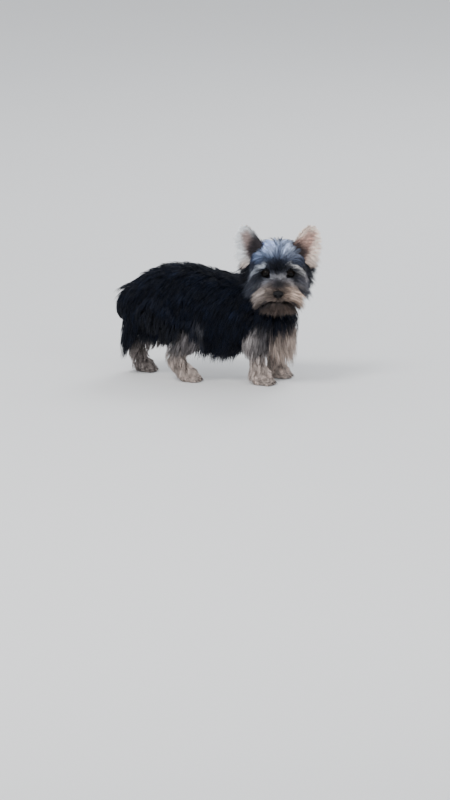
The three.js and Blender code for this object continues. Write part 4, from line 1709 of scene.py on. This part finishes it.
@dataclass
class Body:
    """Trunk, neck, head, tail, legs and feet, as smooth forms under the coat.

    Rows of the trunk are x and z, of the head f and u, and of the neck and tail x, y and z, each with
    the reach to the sides, up and down. A leg has four joints, each x, y and z with the reach to the
    side, front and back. A paw is x and y of its middle and its size against a full one.
    """

    trunk_rows: tuple[tuple[float, ...], ...] = (
        (-138, 112, 0, 0, 0), (-131, 112, 18, 19, 22), (-114, 117, 27, 29, 29), (-88, 122, 33, 37, 34),
        (-55, 123, 36, 41, 38), (-20, 118, 38, 41, 42), (20, 112, 38, 38, 44), (55, 108, 35, 36, 42),
        (80, 104, 30, 29, 36), (96, 100, 20, 19, 25), (103, 98, 0, 0, 0),
    )
    neck_rows: tuple[tuple[float, ...], ...] = (
        (36, 1, 108, 0, 0, 0), (50, 1, 122, 27, 24, 27), (64, -1, 137, 25.5, 23, 26),
        (78, -7, 154, 23, 21, 24), (88, -15, 168, 20, 18, 20), (94, -23, 180, 13, 11, 11),
        (96, -28, 187, 0, 0, 0),
    )
    head_rows: tuple[tuple[float, ...], ...] = (
        (-57, 2, 0, 0, 0), (-52, 2, 15, 15, 16), (-43, 3, 24.5, 24, 24), (-30, 3, 30.5, 29, 28),
        (-17, 1, 31.5, 29, 29), (-6, -3, 28.5, 24, 29), (2, -11, 21, 15.5, 25), (9, -16, 16.5, 10.5, 23),
        (18, -18.5, 15, 9.5, 21.5), (26, -20, 12.5, 8.5, 17), (31, -20.5, 0, 0, 0),
    )
    tail_rows: tuple[tuple[float, ...], ...] = (
        (-124, 0, 126, 0, 0, 0), (-132, 0, 124, 8, 8, 8), (-139, 0, 120, 7.5, 7.5, 7.5),
        (-146, 0, 110, 6.5, 6.5, 6.5), (-149, 0, 99, 4.5, 4.5, 4.5), (-149.5, 0, 95, 0, 0, 0),
    )
    legs: dict[str, tuple[tuple[float, ...], ...]] = field(default_factory=lambda: {
        "fore_right": ((72, -23, 102, 12, 15, 15), (62, -27, 76, 9, 9.5, 12),
                       (64, -26, 31, 5.8, 5.8, 5.8), (67, -26, 14, 6.6, 6.6, 6.2)),
        "fore_left": ((78, 23, 102, 12, 15, 15), (69, 27, 77, 9, 9.5, 12),
                      (80, 26, 31, 5.8, 5.8, 5.8), (83, 26, 14, 6.6, 6.6, 6.2)),
        "hind_right": ((-92, -23, 110, 14, 24, 24), (-38, -30, 70, 10, 12, 12),
                       (-62, -28, 38, 5.8, 6.2, 7), (-46, -27, 14, 5.8, 6, 6)),
        "hind_left": ((-98, 23, 110, 14, 24, 24), (-82, 29, 68, 11, 14, 14),
                      (-134, 27, 42, 5.8, 6.2, 7), (-125, 26, 14, 5.8, 6, 6)),
    })
    paws: dict[str, tuple[float, float, float]] = field(default_factory=lambda: {
        "fore_right": (71, -26, 1.0), "fore_left": (87, 26, 1.0),
        "hind_right": (-40, -27, 0.95), "hind_left": (-120, 26, 0.95),
    })
    toe: float = 4.3
    trunk_mesh: tuple[int, int] = (90, 64)
    limb_mesh: tuple[int, int] = (40, 32)
    voxel: float = 1.4
    smoothing: int = 6

    def lofts(self) -> dict[str, Loft]:
        """The forms of trunk, neck, head and tail.

        Returns:
            The four lofts by name.
        """
        trunk = [(x, 0, z, *reach) for x, z, *reach in self.trunk_rows]
        head = [(*HEAD.place((f, 0, u)), *reach) for f, u, *reach in self.head_rows]
        return {
            "trunk": Loft(trunk, UP, AHEAD),
            "neck": Loft(self.neck_rows),
            "head": Loft(head, HEAD.way((0, 0, 1)), HEAD.way((1, 0, 0))),
            "tail": Loft(self.tail_rows, AHEAD),
        }

    def limbs(self, leg: str) -> list[Loft]:
        """The segments of one leg."""
        joints = self.legs[leg]
        return [limb(a, b) for a, b in zip(joints[:-1], joints[1:])]

    def toes(self, leg: str) -> list[tuple[Array, Array]]:
        """The four toes of a foot.

        Args:
            leg: name of the leg.

        Returns:
            The middle of each and the way it points.
        """
        x, y, k = self.paws[leg]
        made = []
        for place, ahead in ((-1.5, 6.5), (-0.5, 9.5), (0.5, 9.5), (1.5, 6.5)):
            at = np.array([x + ahead * k, y + place * 4.5 * k, self.toe * k * 0.88])
            way = unit(np.array([math.cos(place * 0.09), math.sin(place * 0.09), -0.1]))
            made.append((at, way))
        return made

    def paw(self, leg: str) -> list[Shell]:
        """A foot: its body and four toes.

        Args:
            leg: name of the leg.

        Returns:
            Their shapes.
        """
        x, y, k = self.paws[leg]
        pieces = [ellipsoid((x - 2, y, 8.2 * k), (12 * k, 10 * k, 10 * k), np.eye(3))]
        for at, way in self.toes(leg):
            across = unit(np.cross(UP, way))
            axes = np.array([way, across, np.cross(way, across)])
            pieces.append(ellipsoid(at, (6.5 * k, self.toe * 0.92 * k, self.toe * k), axes))
        return pieces

    def flesh(self, packed: Packed) -> Shell:
        """All forms melted into one skin, with eye sockets and flat soles.

        Args:
            packed: makes the objects.

        Returns:
            The skin.
        """
        pieces = [loft.shell(*self.trunk_mesh) for loft in self.lofts().values()]
        for leg in self.legs:
            pieces += [loft.shell(*self.limb_mesh) for loft in self.limbs(leg)] + self.paw(leg)
        raw = packed.mesh("flesh", Shell.joined(pieces))
        melt = raw.modifiers.new("melt", "REMESH")
        melt.mode = "VOXEL"
        melt.voxel_size = self.voxel * MM
        even = raw.modifiers.new("even", "SMOOTH")
        even.factor = 0.5
        even.iterations = self.smoothing
        shell = packed.shell(finished_mesh(raw))
        bpy.data.objects.remove(raw)
        shell.points[:, 2] = np.maximum(shell.points[:, 2], 0.0)
        return Shell(Eyes().sunk(self.mouth(shell.points)), shell.faces)

    @staticmethod
    def above_mouth(own: Array) -> Array:
        """How far places in the head are above the line of the mouth."""
        f, l, u = own.T
        return u + 30.3 + 0.016 * l**2 + 0.1 * np.maximum(28 - f, 0)

    def mouth(self, points: Array) -> Array:
        """Draws in the line of the mouth and sets out the lips.

        Args:
            points: places on the skin.

        Returns:
            The places, moved.
        """
        own = HEAD.own(points)
        f, l, u = own.T
        fore = smooth(f, -2, 8) * (np.abs(l) < 24)
        # The line is drawn in by 2.4 mm, between lips that stand out by 0.9 mm.
        off = self.above_mouth(own) / 1.2
        groove = -2.4 * np.exp(-(off**2)) + 0.9 * np.exp(-((np.abs(off) - 2.0) ** 2))
        middle = np.stack([np.minimum(f, 18), 0 * l, np.full_like(u, -20)], -1)
        out = unit(own - middle)
        return HEAD.place(own + out * (groove * fore)[:, None])


@dataclass
class Claws:
    """One bent claw on each toe, ahead of its middle and above it.

    The bend and the dip of its root are in radians, and the smallest claw is a share of the largest.
    """

    long: float = 8.5
    thick: float = 2.4
    bend: float = 1.1
    rings: int = 10
    sides: int = 10
    ahead: float = 6.0
    above: float = 1.9
    dip: float = 0.05
    smallest: float = 0.88
    seed: int = 4

    def one(self, packed: Packed) -> bpy.types.Object:
        """A claw that bends down from its root at the origin, ahead along X.

        Args:
            packed: makes the objects.

        Returns:
            The claw.
        """
        s, turn = np.linspace(0, 1, self.rings)[:, None], circle(self.sides)
        reach = self.thick / 2 * (1 - s) ** 0.6 * (1 - 0.25 * np.cos(turn) ** 2)
        ahead = self.long * np.sin(self.bend * s) / self.bend
        down = self.long * (1 - np.cos(self.bend * s)) / self.bend
        spots = np.stack([ahead + 0 * turn, reach * np.cos(turn), reach * np.sin(turn) - down], -1)
        shell = tube(spots)
        return packed.mesh("claw", Shell(shell.points - packed.shift, shell.faces))

    def build(self, packed: Packed, body: Body) -> None:
        """Sets a claw on the front of each toe.

        Args:
            packed: makes the objects.
            body: whose toes they stand on.
        """
        rows, turns = [], []
        for leg in body.paws:
            for at, way in body.toes(leg):
                rows.append(at + way * self.ahead * body.paws[leg][2] + UP * self.above)
                turns.append((0.0, self.dip, math.atan2(way[1], way[0])))
        points = packed.mesh("claw_roots", Shell(np.array(rows), np.zeros((0, 3), int)))
        measure(points, "turn", np.array(turns))
        one = self.one(packed)
        finish = ClawFinish().material()
        given = {"Thing": one, "Smallest": self.smallest, "Seed": self.seed, "Material": finish}
        made = Scatter().scattered("claws", points, **given)
        bpy.data.objects.remove(one)
        packed.wear(made, finish, Slot.LEG)


@dataclass
class Fur:
    """The whole coat, piece by piece.

    Tufts are counted as tried: those whose root would be off the skin aren't grown. Each form has its
    count and the seed of its spread. The trunk's coat is cut into pieces along X.
    """

    body: Body
    packed: Packed
    markings: Markings
    hide: Hide
    coat: Coat = field(init=False)
    draws: np.random.Generator = field(init=False)
    forms: dict[str, tuple[int, int]] = field(default_factory=lambda: {
        "trunk": (4250, 1), "neck": (1350, 2), "tail": (380, 3), "head": (7600, 4),
    })
    trunk_cuts: tuple[float, ...] = (-200, -62, 12, 200)
    segment_tufts: tuple[int, ...] = (265, 265, 175)
    foot_tufts: int = 315
    ear_tufts: tuple[tuple[int, str, int], ...] = ((1, "hollow", 720), (-1, "back", 320))
    near_skin: float = 2.2
    near_leg: float = 6.0
    segment_seed: int = 40
    foot_seed: int = 60
    strand_seed: int = 11
    size_seed: int = 5

    def __post_init__(self) -> None:
        """Starts the coat and the draws."""
        self.coat = Coat(self.packed, self.strand_seed)
        self.draws = np.random.default_rng(self.size_seed)

    def cover(
        self, name: str, growth: Growth, kind: TuftKind, material: bpy.types.Material, slot: Slot,
        hide: Hide | None = None, eyes: Eyes | None = None,
    ) -> None:
        """Grows and dresses one piece of coat, over the body's skin if no other hide is given."""
        piece = self.coat.grow(f"coat_{name}", growth, hide or self.hide, kind, eyes)
        self.packed.wear(piece, material, slot)

    def roots(self, loft: Loft, count: int, seed: int, reach: float) -> tuple[Array, ...]:
        """Roots on the skin that a loft stands for.

        Args:
            loft: the form.
            count: how many are tried.
            seed: shifts the spread.
            reach: how far the skin may lie from the form.

        Returns:
            Places, which way the skin faces there, and their station and angle as shares.
        """
        s, angle = loft.scatter(count, seed)
        places, normals, gap = self.hide.nearest(loft.skin(s, angle))
        kept = gap < reach
        return places[kept], normals[kept], np.stack([s / loft.last, angle / (2 * math.pi)], -1)[kept]

    def form_roots(self, form: str) -> tuple[Array, ...]:
        """Roots on one form of the body."""
        return self.roots(self.body.lofts()[form], *self.forms[form], self.near_skin)

    def vary(self, count: int, least: float, most: float = 1.0) -> Array:
        """Draws between two shares."""
        return self.draws.uniform(least, most, count)

    def trunk(self, material: bpy.types.Material) -> None:
        """Coat of the trunk: short on the back, long down the flanks, hanging below the belly.

        Args:
            material: what the hair is made of.
        """
        root, normal, uv = self.form_roots("trunk")
        x, count = root[:, 0], len(root)
        top = np.maximum(normal[:, 2], 0)
        rear = 1 - smooth(x, -136, -112)
        chest = smooth(x, 74, 98)
        low = smooth(-normal[:, 2], -0.5, 0.5)
        thigh = (1 - smooth(x, -40, -22)) * (1 - rear) * (1 - 0.8 * smooth(-normal[:, 2], 0.7, 0.95))
        thigh = thigh * (0.6 + 0.4 * smooth(x, -78, -60))
        shoulder = smooth(x, 30, 46) * (1 - smooth(x, 78, 92))
        side = np.tanh(root[:, 1] / 7) * (0.12 + 0.5 * top)
        lie = np.stack([0.1 * rear + 0.7 * chest - 0.4 - 0.5 * top, side, -1 + 0.3 * top], -1)
        long = 26 + low * (26 - 20 * thigh - 22 * shoulder) + 26 * rear + 8 * chest
        long = long * self.vary(count, 0.8, 1.12)
        lift = (11 + 4 * low + 5 * chest) * self.vary(count, 0.45)
        cling = (0.75 - 0.72 * smooth(low, 0, 0.8)) * (1 - 0.8 * np.maximum(rear, chest))
        colour = self.markings.body(root + unit(lie) * long[:, None] / 2)
        growth = Growth(root, unit(lie), long, lift, cling, 0.12 + 0.6 * low, colour, uv)
        kind = TuftKind(wide=0.9, thick=0.5, spread=3.6, clump=0.35, gather=0.42)
        for k, (least, most) in enumerate(zip(self.trunk_cuts[:-1], self.trunk_cuts[1:])):
            piece = growth.kept((x >= least) & (x < most))
            self.cover(f"trunk_{k + 1}", piece, kind, material, Slot.DARK)

    def neck(self, material: bpy.types.Material) -> None:
        """Coat of the neck, down and back over the shoulders.

        Args:
            material: what the hair is made of.
        """
        root, normal, uv = self.form_roots("neck")
        lie = np.array([-0.35, 0, -1.0]) + np.sign(normal[:, 1:2]) * np.array([0, 0.25, 0])
        long, lift = 30 * self.vary(len(root), 0.8, 1.15), 12 * self.vary(len(root), 0.45)
        colour = self.markings.body(root)
        growth = Growth(root, unit(lie), long, lift, cling=0.3, weight=0.35, colour=colour, uv=uv)
        kind = TuftKind(wide=0.9, thick=0.5, spread=3.4, clump=0.35, lock=8, gather=0.5)
        self.cover("neck", growth, kind, material, Slot.DARK)

    def tail(self, material: bpy.types.Material) -> None:
        """Coat of the tail, close to it.

        Args:
            material: what the hair is made of.
        """
        root, normal, uv = self.form_roots("tail")
        vary = self.vary(len(root), 0.7, 1.1)
        lie = unit(np.array([-0.05, 0, -1.0]) + 0.25 * normal)
        colour = self.markings.body(root)
        growth = Growth(root, lie, 24 * vary, 4.5 * vary, cling=0.3, weight=0.5, colour=colour, uv=uv)
        kind = TuftKind(strands=6, spread=2.4, clump=0.35, gather=0.4)
        self.cover("tail", growth, kind, material, Slot.DARK)

    def leg_roots(self, leg: str, number: int) -> tuple[Array, ...]:
        """Roots on the three segments and the foot of a leg.

        Args:
            leg: name of the leg.
            number: its place among the legs.

        Returns:
            What roots gives for a loft.
        """
        parts = []
        for n, (loft, count) in enumerate(zip(self.body.limbs(leg), self.segment_tufts)):
            parts.append(self.roots(loft, count, self.segment_seed + 5 * number + n, self.near_leg))
        x, y, size = self.body.paws[leg]
        pairs = even_pairs(self.foot_tufts, self.foot_seed + number)
        dome = directions(np.arccos(1 - 1.25 * pairs[:, 0]), pairs[:, 1] * 2 * math.pi)[:, (1, 2, 0)]
        spots, faces, _ = self.hide.nearest(np.array([x + 2, y, 5.0]) + dome * np.array([16, 12, 12]) * size)
        parts.append((spots, faces, np.stack([0.5 + 0.2 * pairs[:, 0], pairs[:, 1]], -1)))
        root, normal, uv = (np.concatenate([part[k] for part in parts]) for k in range(3))
        quarter = np.repeat(np.arange(4), [len(part[0]) for part in parts])
        uv[:, 0] = (quarter + 0.04 + 0.9 * uv[:, 0]) / 4
        above = root[:, 2] > 1.5
        return root[above], normal[above], uv[above]

    def legs(self, material: bpy.types.Material) -> None:
        """Coat of the legs and feet, feathered behind.

        Args:
            material: what the hair is made of.
        """
        kind = TuftKind(
            strands=6, wide=0.65, thick=0.4, spread=2.1, clump=0.4, splay=1.2, lock=6, gather=0.35
        )
        for k, leg in enumerate(self.body.legs):
            root, normal, uv = self.leg_roots(leg, k)
            count = len(root)
            foot = 1 - smooth(root[:, 2], 12, 26)
            behind = smooth(-normal[:, 0], 0.0, 0.9) * (1 - foot)
            upper = smooth(root[:, 2], 45, 85)
            ahead = 0.75 * foot - 0.35 * behind - 0.25 * upper
            lie = np.stack([ahead, 0.3 * normal[:, 1], -1 + 0.35 * foot], -1)
            x, _, size = self.body.paws[leg]
            toes = smooth(root[:, 0], x + 5 * size, x + 13 * size) * foot
            long = (19 - 9 * foot - 4.5 * toes + 8 * behind + 10 * upper) * self.vary(count, 0.8, 1.15)
            lift = (6.5 - 3.4 * foot - 1.5 * toes + 3 * behind + 5 * upper) * self.vary(count, 0.4)
            colour = self.markings.leg(root)
            growth = Growth(root, unit(lie), long, lift, cling=0.25, weight=0.3, colour=colour, uv=uv)
            self.cover(f"leg_{leg}", growth, kind, material, Slot.LEG)

    def head(self, eyes: Eyes, material: bpy.types.Material) -> None:
        """Coat of the head: swept up over the crown, out over the cheeks, with moustache and beard.

        Args:
            eyes: eyes that no strand may hang over.
            material: what the hair is made of.
        """
        combing = Combing((
            Comb((14, 0.5, -9), (-0.7, 0.4, 0.25), 6, 1.6, 0.6, 0.0),
            Comb((28, 3, -13), (-0.4, 0.8, 0.2), 4, 1.0, 0.6, 0.0),
            Comb((20, 7, -12), (-0.3, 0.9, 0.1), 8, 2.2, 0.5, 0.0),
            Comb((9, 10, -10), (-0.2, 0.95, -0.15), 13, 3.6, 0.3, 0.15),
            Comb((3, 9, -2), (-0.35, 0.2, 0.85), 5, 1.5, 0.5, 0.0),
            Comb((3, 4, 1), (-0.35, 0.5, 0.6), 8, 2.6, 0.4, 0.0),
            Comb((-1, 3, 13), (-0.5, 0.25, 0.9), 14, 4.5, 0.3, 0.0),
            Comb((0, 15, 12), (0.2, 0.95, 0.3), 18, 5.0, 0.3, 0.25),
            Comb((-4, 24, 8), (0.2, 0.85, -0.4), 22, 7.0, 0.15, 0.35),
            Comb((-8, 5, 25), (-0.1, 0.6, 0.9), 22, 10.5, 0.3, 0.1),
            Comb((-22, 7, 32), (-0.35, 0.65, 0.8), 24, 12.0, 0.3, 0.15),
            Comb((-40, 8, 26), (-0.8, 0.4, -0.4), 28, 9.5, 0.3, 0.3),
            Comb((-12, 26, 15), (-0.1, 0.8, -0.4), 24, 8.5, 0.2, 0.3),
            Comb((-6, 26, -8), (-0.05, 0.9, -0.55), 28, 9.0, 0.1, 0.4),
            Comb((-24, 30, -12), (-0.25, 0.75, -0.65), 31, 10.0, 0.1, 0.4),
            Comb((-38, 26, 2), (-0.05, 1.0, -0.35), 36, 20.0, 0.02, 0.35),
            Comb((-26, 29, -16), (0.1, 1.0, -0.5), 40, 24.0, 0.0, 0.4),
            Comb((-36, 25, -14), (0.1, 1.0, -0.6), 40, 24.0, 0.0, 0.4),
            Comb((-12, 27, -18), (0.0, 1.0, -0.7), 38, 19.0, 0.01, 0.45),
            Comb((-22, 23, -25), (0.0, 1.0, -0.8), 40, 22.0, 0.01, 0.4),
            Comb((3, 16, -11), (0.0, 0.9, -0.5), 18, 5.0, 0.2, 0.3),
            Comb((18, 12, -15), (0.1, 1.0, -0.08), 41, 6.5, 0.02, 0.55),
            Comb((26, 9, -21), (0.2, 1.0, -0.15), 41, 6.5, 0.02, 0.6),
            Comb((30, 0.5, -27), (0.1, 0.6, -0.5), 2.5, 0.7, 0.6, 0.0),
            Comb((29, 4, -26), (0.2, 1.0, -0.2), 6, 1.4, 0.5, 0.1),
            Comb((27, 7, -27), (0.15, 1.0, -0.15), 11, 2.0, 0.3, 0.2),
            Comb((20, 13, -28), (0.1, 1.0, -0.5), 37, 8.0, 0.02, 0.6),
            Comb((8, 16, -22), (0.05, 0.9, -0.75), 36, 8.0, 0.03, 0.6),
            Comb((28, 3, -34), (0.5, 0.3, -1), 18, 5.5, 0.03, 0.5),
            Comb((24, 8, -36), (0.5, 1.0, -0.7), 28, 9.0, 0.02, 0.5),
            Comb((14, 12, -36), (0.3, 1.1, -0.6), 34, 10.0, 0.02, 0.5),
            Comb((12, 6, -41), (0.1, 0.5, -1), 30, 6.0, 0.03, 0.5),
            Comb((-10, 10, -33), (-0.1, 0.4, -1), 30, 7.0, 0.1, 0.6),
            Comb((-30, 9, -27), (-0.3, 0.3, -1), 30, 8.0, 0.1, 0.5),
        ), reach=5.5)
        root, _, uv = self.form_roots("head")
        own = HEAD.own(root)
        # The muzzle keeps every tuft and the rest of the head every other one. None grows on the nose.
        dense = (own[:, 0] > 3) | (np.arange(len(root)) % 2 == 0)
        pad = (oval(own[:, 1], own[:, 2] + 19.5, 6.3, 4.8) < 1) & (own[:, 0] > 22)
        middle = smooth(own[:, 0], 18, 24) * (1 - smooth(np.abs(own[:, 1]), 8, 12))
        lips = (np.abs(self.body.above_mouth(own)) < 1.3 + 1.1 * middle) & (own[:, 0] > 6)
        kept = dense & ~pad & ~lips
        root, own, uv = root[kept], own[kept], uv[kept]
        lie, rest = combing.at_places(own)
        long, lift = rest[:, 0] * self.vary(len(root), 0.75, 1.15), rest[:, 1] * self.vary(len(root), 0.4)
        growth = Growth(root, HEAD.way(lie), long, lift, rest[:, 2], rest[:, 3], self.markings.head(root), uv)
        muzzle = own[:, 0] > 3
        crown = ~muzzle & (own[:, 2] > 4)
        kind = TuftKind(wide=0.5, thick=0.32, spread=1.8, clump=0.4, splay=1.2, gather=0.4)
        for name, mask in (("muzzle", muzzle), ("crown", crown), ("cheeks", ~muzzle & ~crown)):
            self.cover(name, growth.kept(mask), kind, material, Slot.FACE, eyes=eyes)

    def ears(self, ears: Ears, material: bpy.types.Material) -> None:
        """Coat of both faces of both ears.

        Args:
            ears: the ears.
            material: what the hair is made of.
        """
        kind = TuftKind(
            strands=8, wide=0.42, thick=0.25, spread=1.4, clump=0.3, wave=0.6, splay=0.6,
            lock=5, gather=0.3, rings=(0.0, 0.5),
        )
        for side in Side:
            for face, part, count in self.ear_tufts:
                growth = ears.growth(side, face, count, self.draws, self.markings)
                hide = Hide(ears.sheet(side, face), sink=0.4)
                self.cover(f"ear_{side.word}_{part}", growth, kind, material, Slot.EAR, hide)


@dataclass
class Dog:
    """The whole dog: skin, eyes, nose, claws and coat."""

    body: Body = field(default_factory=Body)
    ears: Ears = field(default_factory=Ears)
    eyes: Eyes = field(default_factory=Eyes)
    nose: Nose = field(default_factory=Nose)
    markings: Markings = field(default_factory=Markings)
    lid: Colour = (0.006, 0.005, 0.006)

    def colours(self, points: Array) -> Array:
        """Colours of the body's skin, by the part of the body that each place is on.

        Args:
            points: places in the dog's frame.

        Returns:
            A colour for each place.
        """
        own = HEAD.own(points)
        skull = np.linalg.norm(own - np.array([-14, 0, -4]), axis=-1) < 46
        head = (skull | (own[:, 0] > 0) & (own[:, 2] > -60)) & (points[:, 2] > 120)
        legs = (points[:, 2] < 74) & (np.abs(points[:, 1]) > 8)
        colours = self.markings.body(points)
        colours[head] = self.markings.head(points[head])
        colours[legs] = self.markings.leg(points[legs])
        return colours

    def skin(self, packed: Packed) -> Shell:
        """Makes the one skin of body, ears and lids.

        Args:
            packed: makes the objects.

        Returns:
            The part of it that the body's coat grows on.
        """
        flesh = self.body.flesh(packed)
        leaves = {side: self.ears.leaf(side) for side in Side}
        lids = [self.eyes.lids(side) for side in Side]
        made = packed.mesh("skin", Shell.joined([flesh, *(leaf for leaf, _ in leaves.values()), *lids]))
        rows = [self.colours(flesh.points)]
        rows += [self.ears.colours(side, spots, self.markings) for side, (_, spots) in leaves.items()]
        rows.append(np.tile(self.lid, (sum(len(lid.points) for lid in lids), 1)))
        paint(made, "markings", np.concatenate(rows))
        ends = [leg.split("_") for leg in self.body.legs]
        limbs = [f"{end}_{part}_{side}" for end, side in ends for part in ("leg", "paw")]
        nodes = ("torso", "neck", "head", "tail", "ear_left", "ear_right", *limbs)
        packed.wear(made, SkinFinish().material(), Slot.DARK, *nodes)
        return flesh

    def build(self, packed: Packed) -> None:
        """Makes every piece of the dog.

        Args:
            packed: makes the objects.
        """
        flesh = self.skin(packed)
        self.eyes.build(packed)
        self.nose.build(packed)
        Claws().build(packed, self.body)
        fur = Fur(self.body, packed, self.markings, Hide(flesh))
        dark = CoatFinish("coat_dark", tip=1.3, streak=0.6, roughness=0.45, specular=0.16).material()
        fur.trunk(dark)
        fur.neck(dark)
        fur.tail(dark)
        fur.legs(CoatFinish("coat_leg", roughness=0.55).material())
        fur.head(self.eyes, CoatFinish("coat_face", streak=0.6, tuft=0.6).material())
        fur.ears(self.ears, CoatFinish("coat_ear", root=0.85, streak=0.35, roughness=0.55).material())


@dataclass
class Studio:
    """Pale floor, soft lights and the camera at the photograph's angle.

    Angles are in degrees, distances in metres, and the lens and its sensor in millimetres. The camera
    looks past the dog's own origin by the aim, to its right and up, in millimetres.
    """

    azimuth: float = 12.0
    elevation: float = 13.0
    distance: float = 7.5
    lens: float = 225.0
    sensor: float = 36.0
    aim: tuple[float, float] = (7.5, -33.0)
    floor_radius: float = 14.0
    floor_height: float = -0.0004
    lit: tuple[float, float, float] = (0, 0, 0.1)
    sky: Colour = (0.9, 0.93, 0.97)
    sky_power: float = 0.95

    @staticmethod
    def face(thing: bpy.types.Object, target: Vector) -> None:
        """Turns a camera or a lamp from where it stands to a target."""
        thing.rotation_mode = "QUATERNION"
        thing.rotation_quaternion = (target - thing.location).to_track_quat("-Z", "Y")

    def camera(self, packed: Packed) -> None:
        """Sets the camera.

        Args:
            packed: knows where the dog's own frame is.
        """
        a, e = math.radians(self.azimuth), math.radians(self.elevation)
        back = Vector((math.sin(a) * math.cos(e), -math.cos(a) * math.cos(e), math.sin(e)))
        right = Vector((math.cos(a), math.sin(a), 0))
        up = back.cross(right)
        origin = Vector(packed.shift * MM)
        data = bpy.data.cameras.new("camera")
        data.lens = self.lens
        data.sensor_width = self.sensor
        camera = added("camera", data)
        camera.location = origin + back * self.distance
        self.face(camera, origin + right * self.aim[0] * MM + up * self.aim[1] * MM)
        bpy.context.scene.camera = camera

    def floor(self) -> None:
        """Lays the floor."""
        at, radius = (0, 0, self.floor_height), self.floor_radius
        bpy.ops.mesh.primitive_circle_add(vertices=96, radius=radius, fill_type="NGON", location=at)
        floor = bpy.context.object
        floor.name = "studio_floor"
        floor.data.materials.append(FloorFinish().material())

    def light(self, name: str, at: Iterable[float], size: float, power: float, tint: Colour) -> None:
        """Adds one soft lamp that looks at the dog.

        Args:
            name: its name.
            at: where it hangs, in metres.
            size: how wide it is, in metres.
            power: its power, in watts.
            tint: its colour.
        """
        data = bpy.data.lights.new(name, "AREA")
        data.shape = "DISK"
        data.size = size
        data.energy = power
        data.color = tint
        lamp = added(name, data)
        lamp.location = at
        self.face(lamp, Vector(self.lit))

    def lights(self) -> None:
        """Sets the lamps and the sky."""
        self.light("key", (-0.8, -1.7, 2.6), size=1.0, power=58, tint=(1.0, 0.99, 0.98))
        self.light("fill", (2.0, -1.6, 1.2), size=1.4, power=14, tint=(0.95, 0.97, 1.0))
        self.light("back", (0.5, 2.0, 2.2), size=1.6, power=34, tint=(0.95, 0.97, 1.0))
        self.light("spark", (0.1, -2.2, 1.3), size=0.1, power=4, tint=(1.0, 1.0, 1.0))
        world = bpy.data.worlds.new("studio")
        world.use_nodes = True
        sky = world.node_tree.nodes["Background"]
        sky.inputs["Color"].default_value = (*self.sky, 1)
        sky.inputs["Strength"].default_value = self.sky_power
        bpy.context.scene.world = world

    def build(self, packed: Packed) -> None:
        """Makes the stage.

        Args:
            packed: makes the objects.
        """
        self.camera(packed)
        self.floor()
        self.lights()


def corners(box: tuple[Vector, Vector]) -> list[list[float]]:
    """A box as plain lists of numbers."""
    return [list(corner) for corner in box]


def main() -> None:
    """Builds the dog and its stage."""
    logging.basicConfig(level=logging.INFO, format="%(name)s: %(message)s")
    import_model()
    packed = Packed()
    Studio().build(packed)
    Dog().build(packed)


if __name__ == "__main__":
    main()
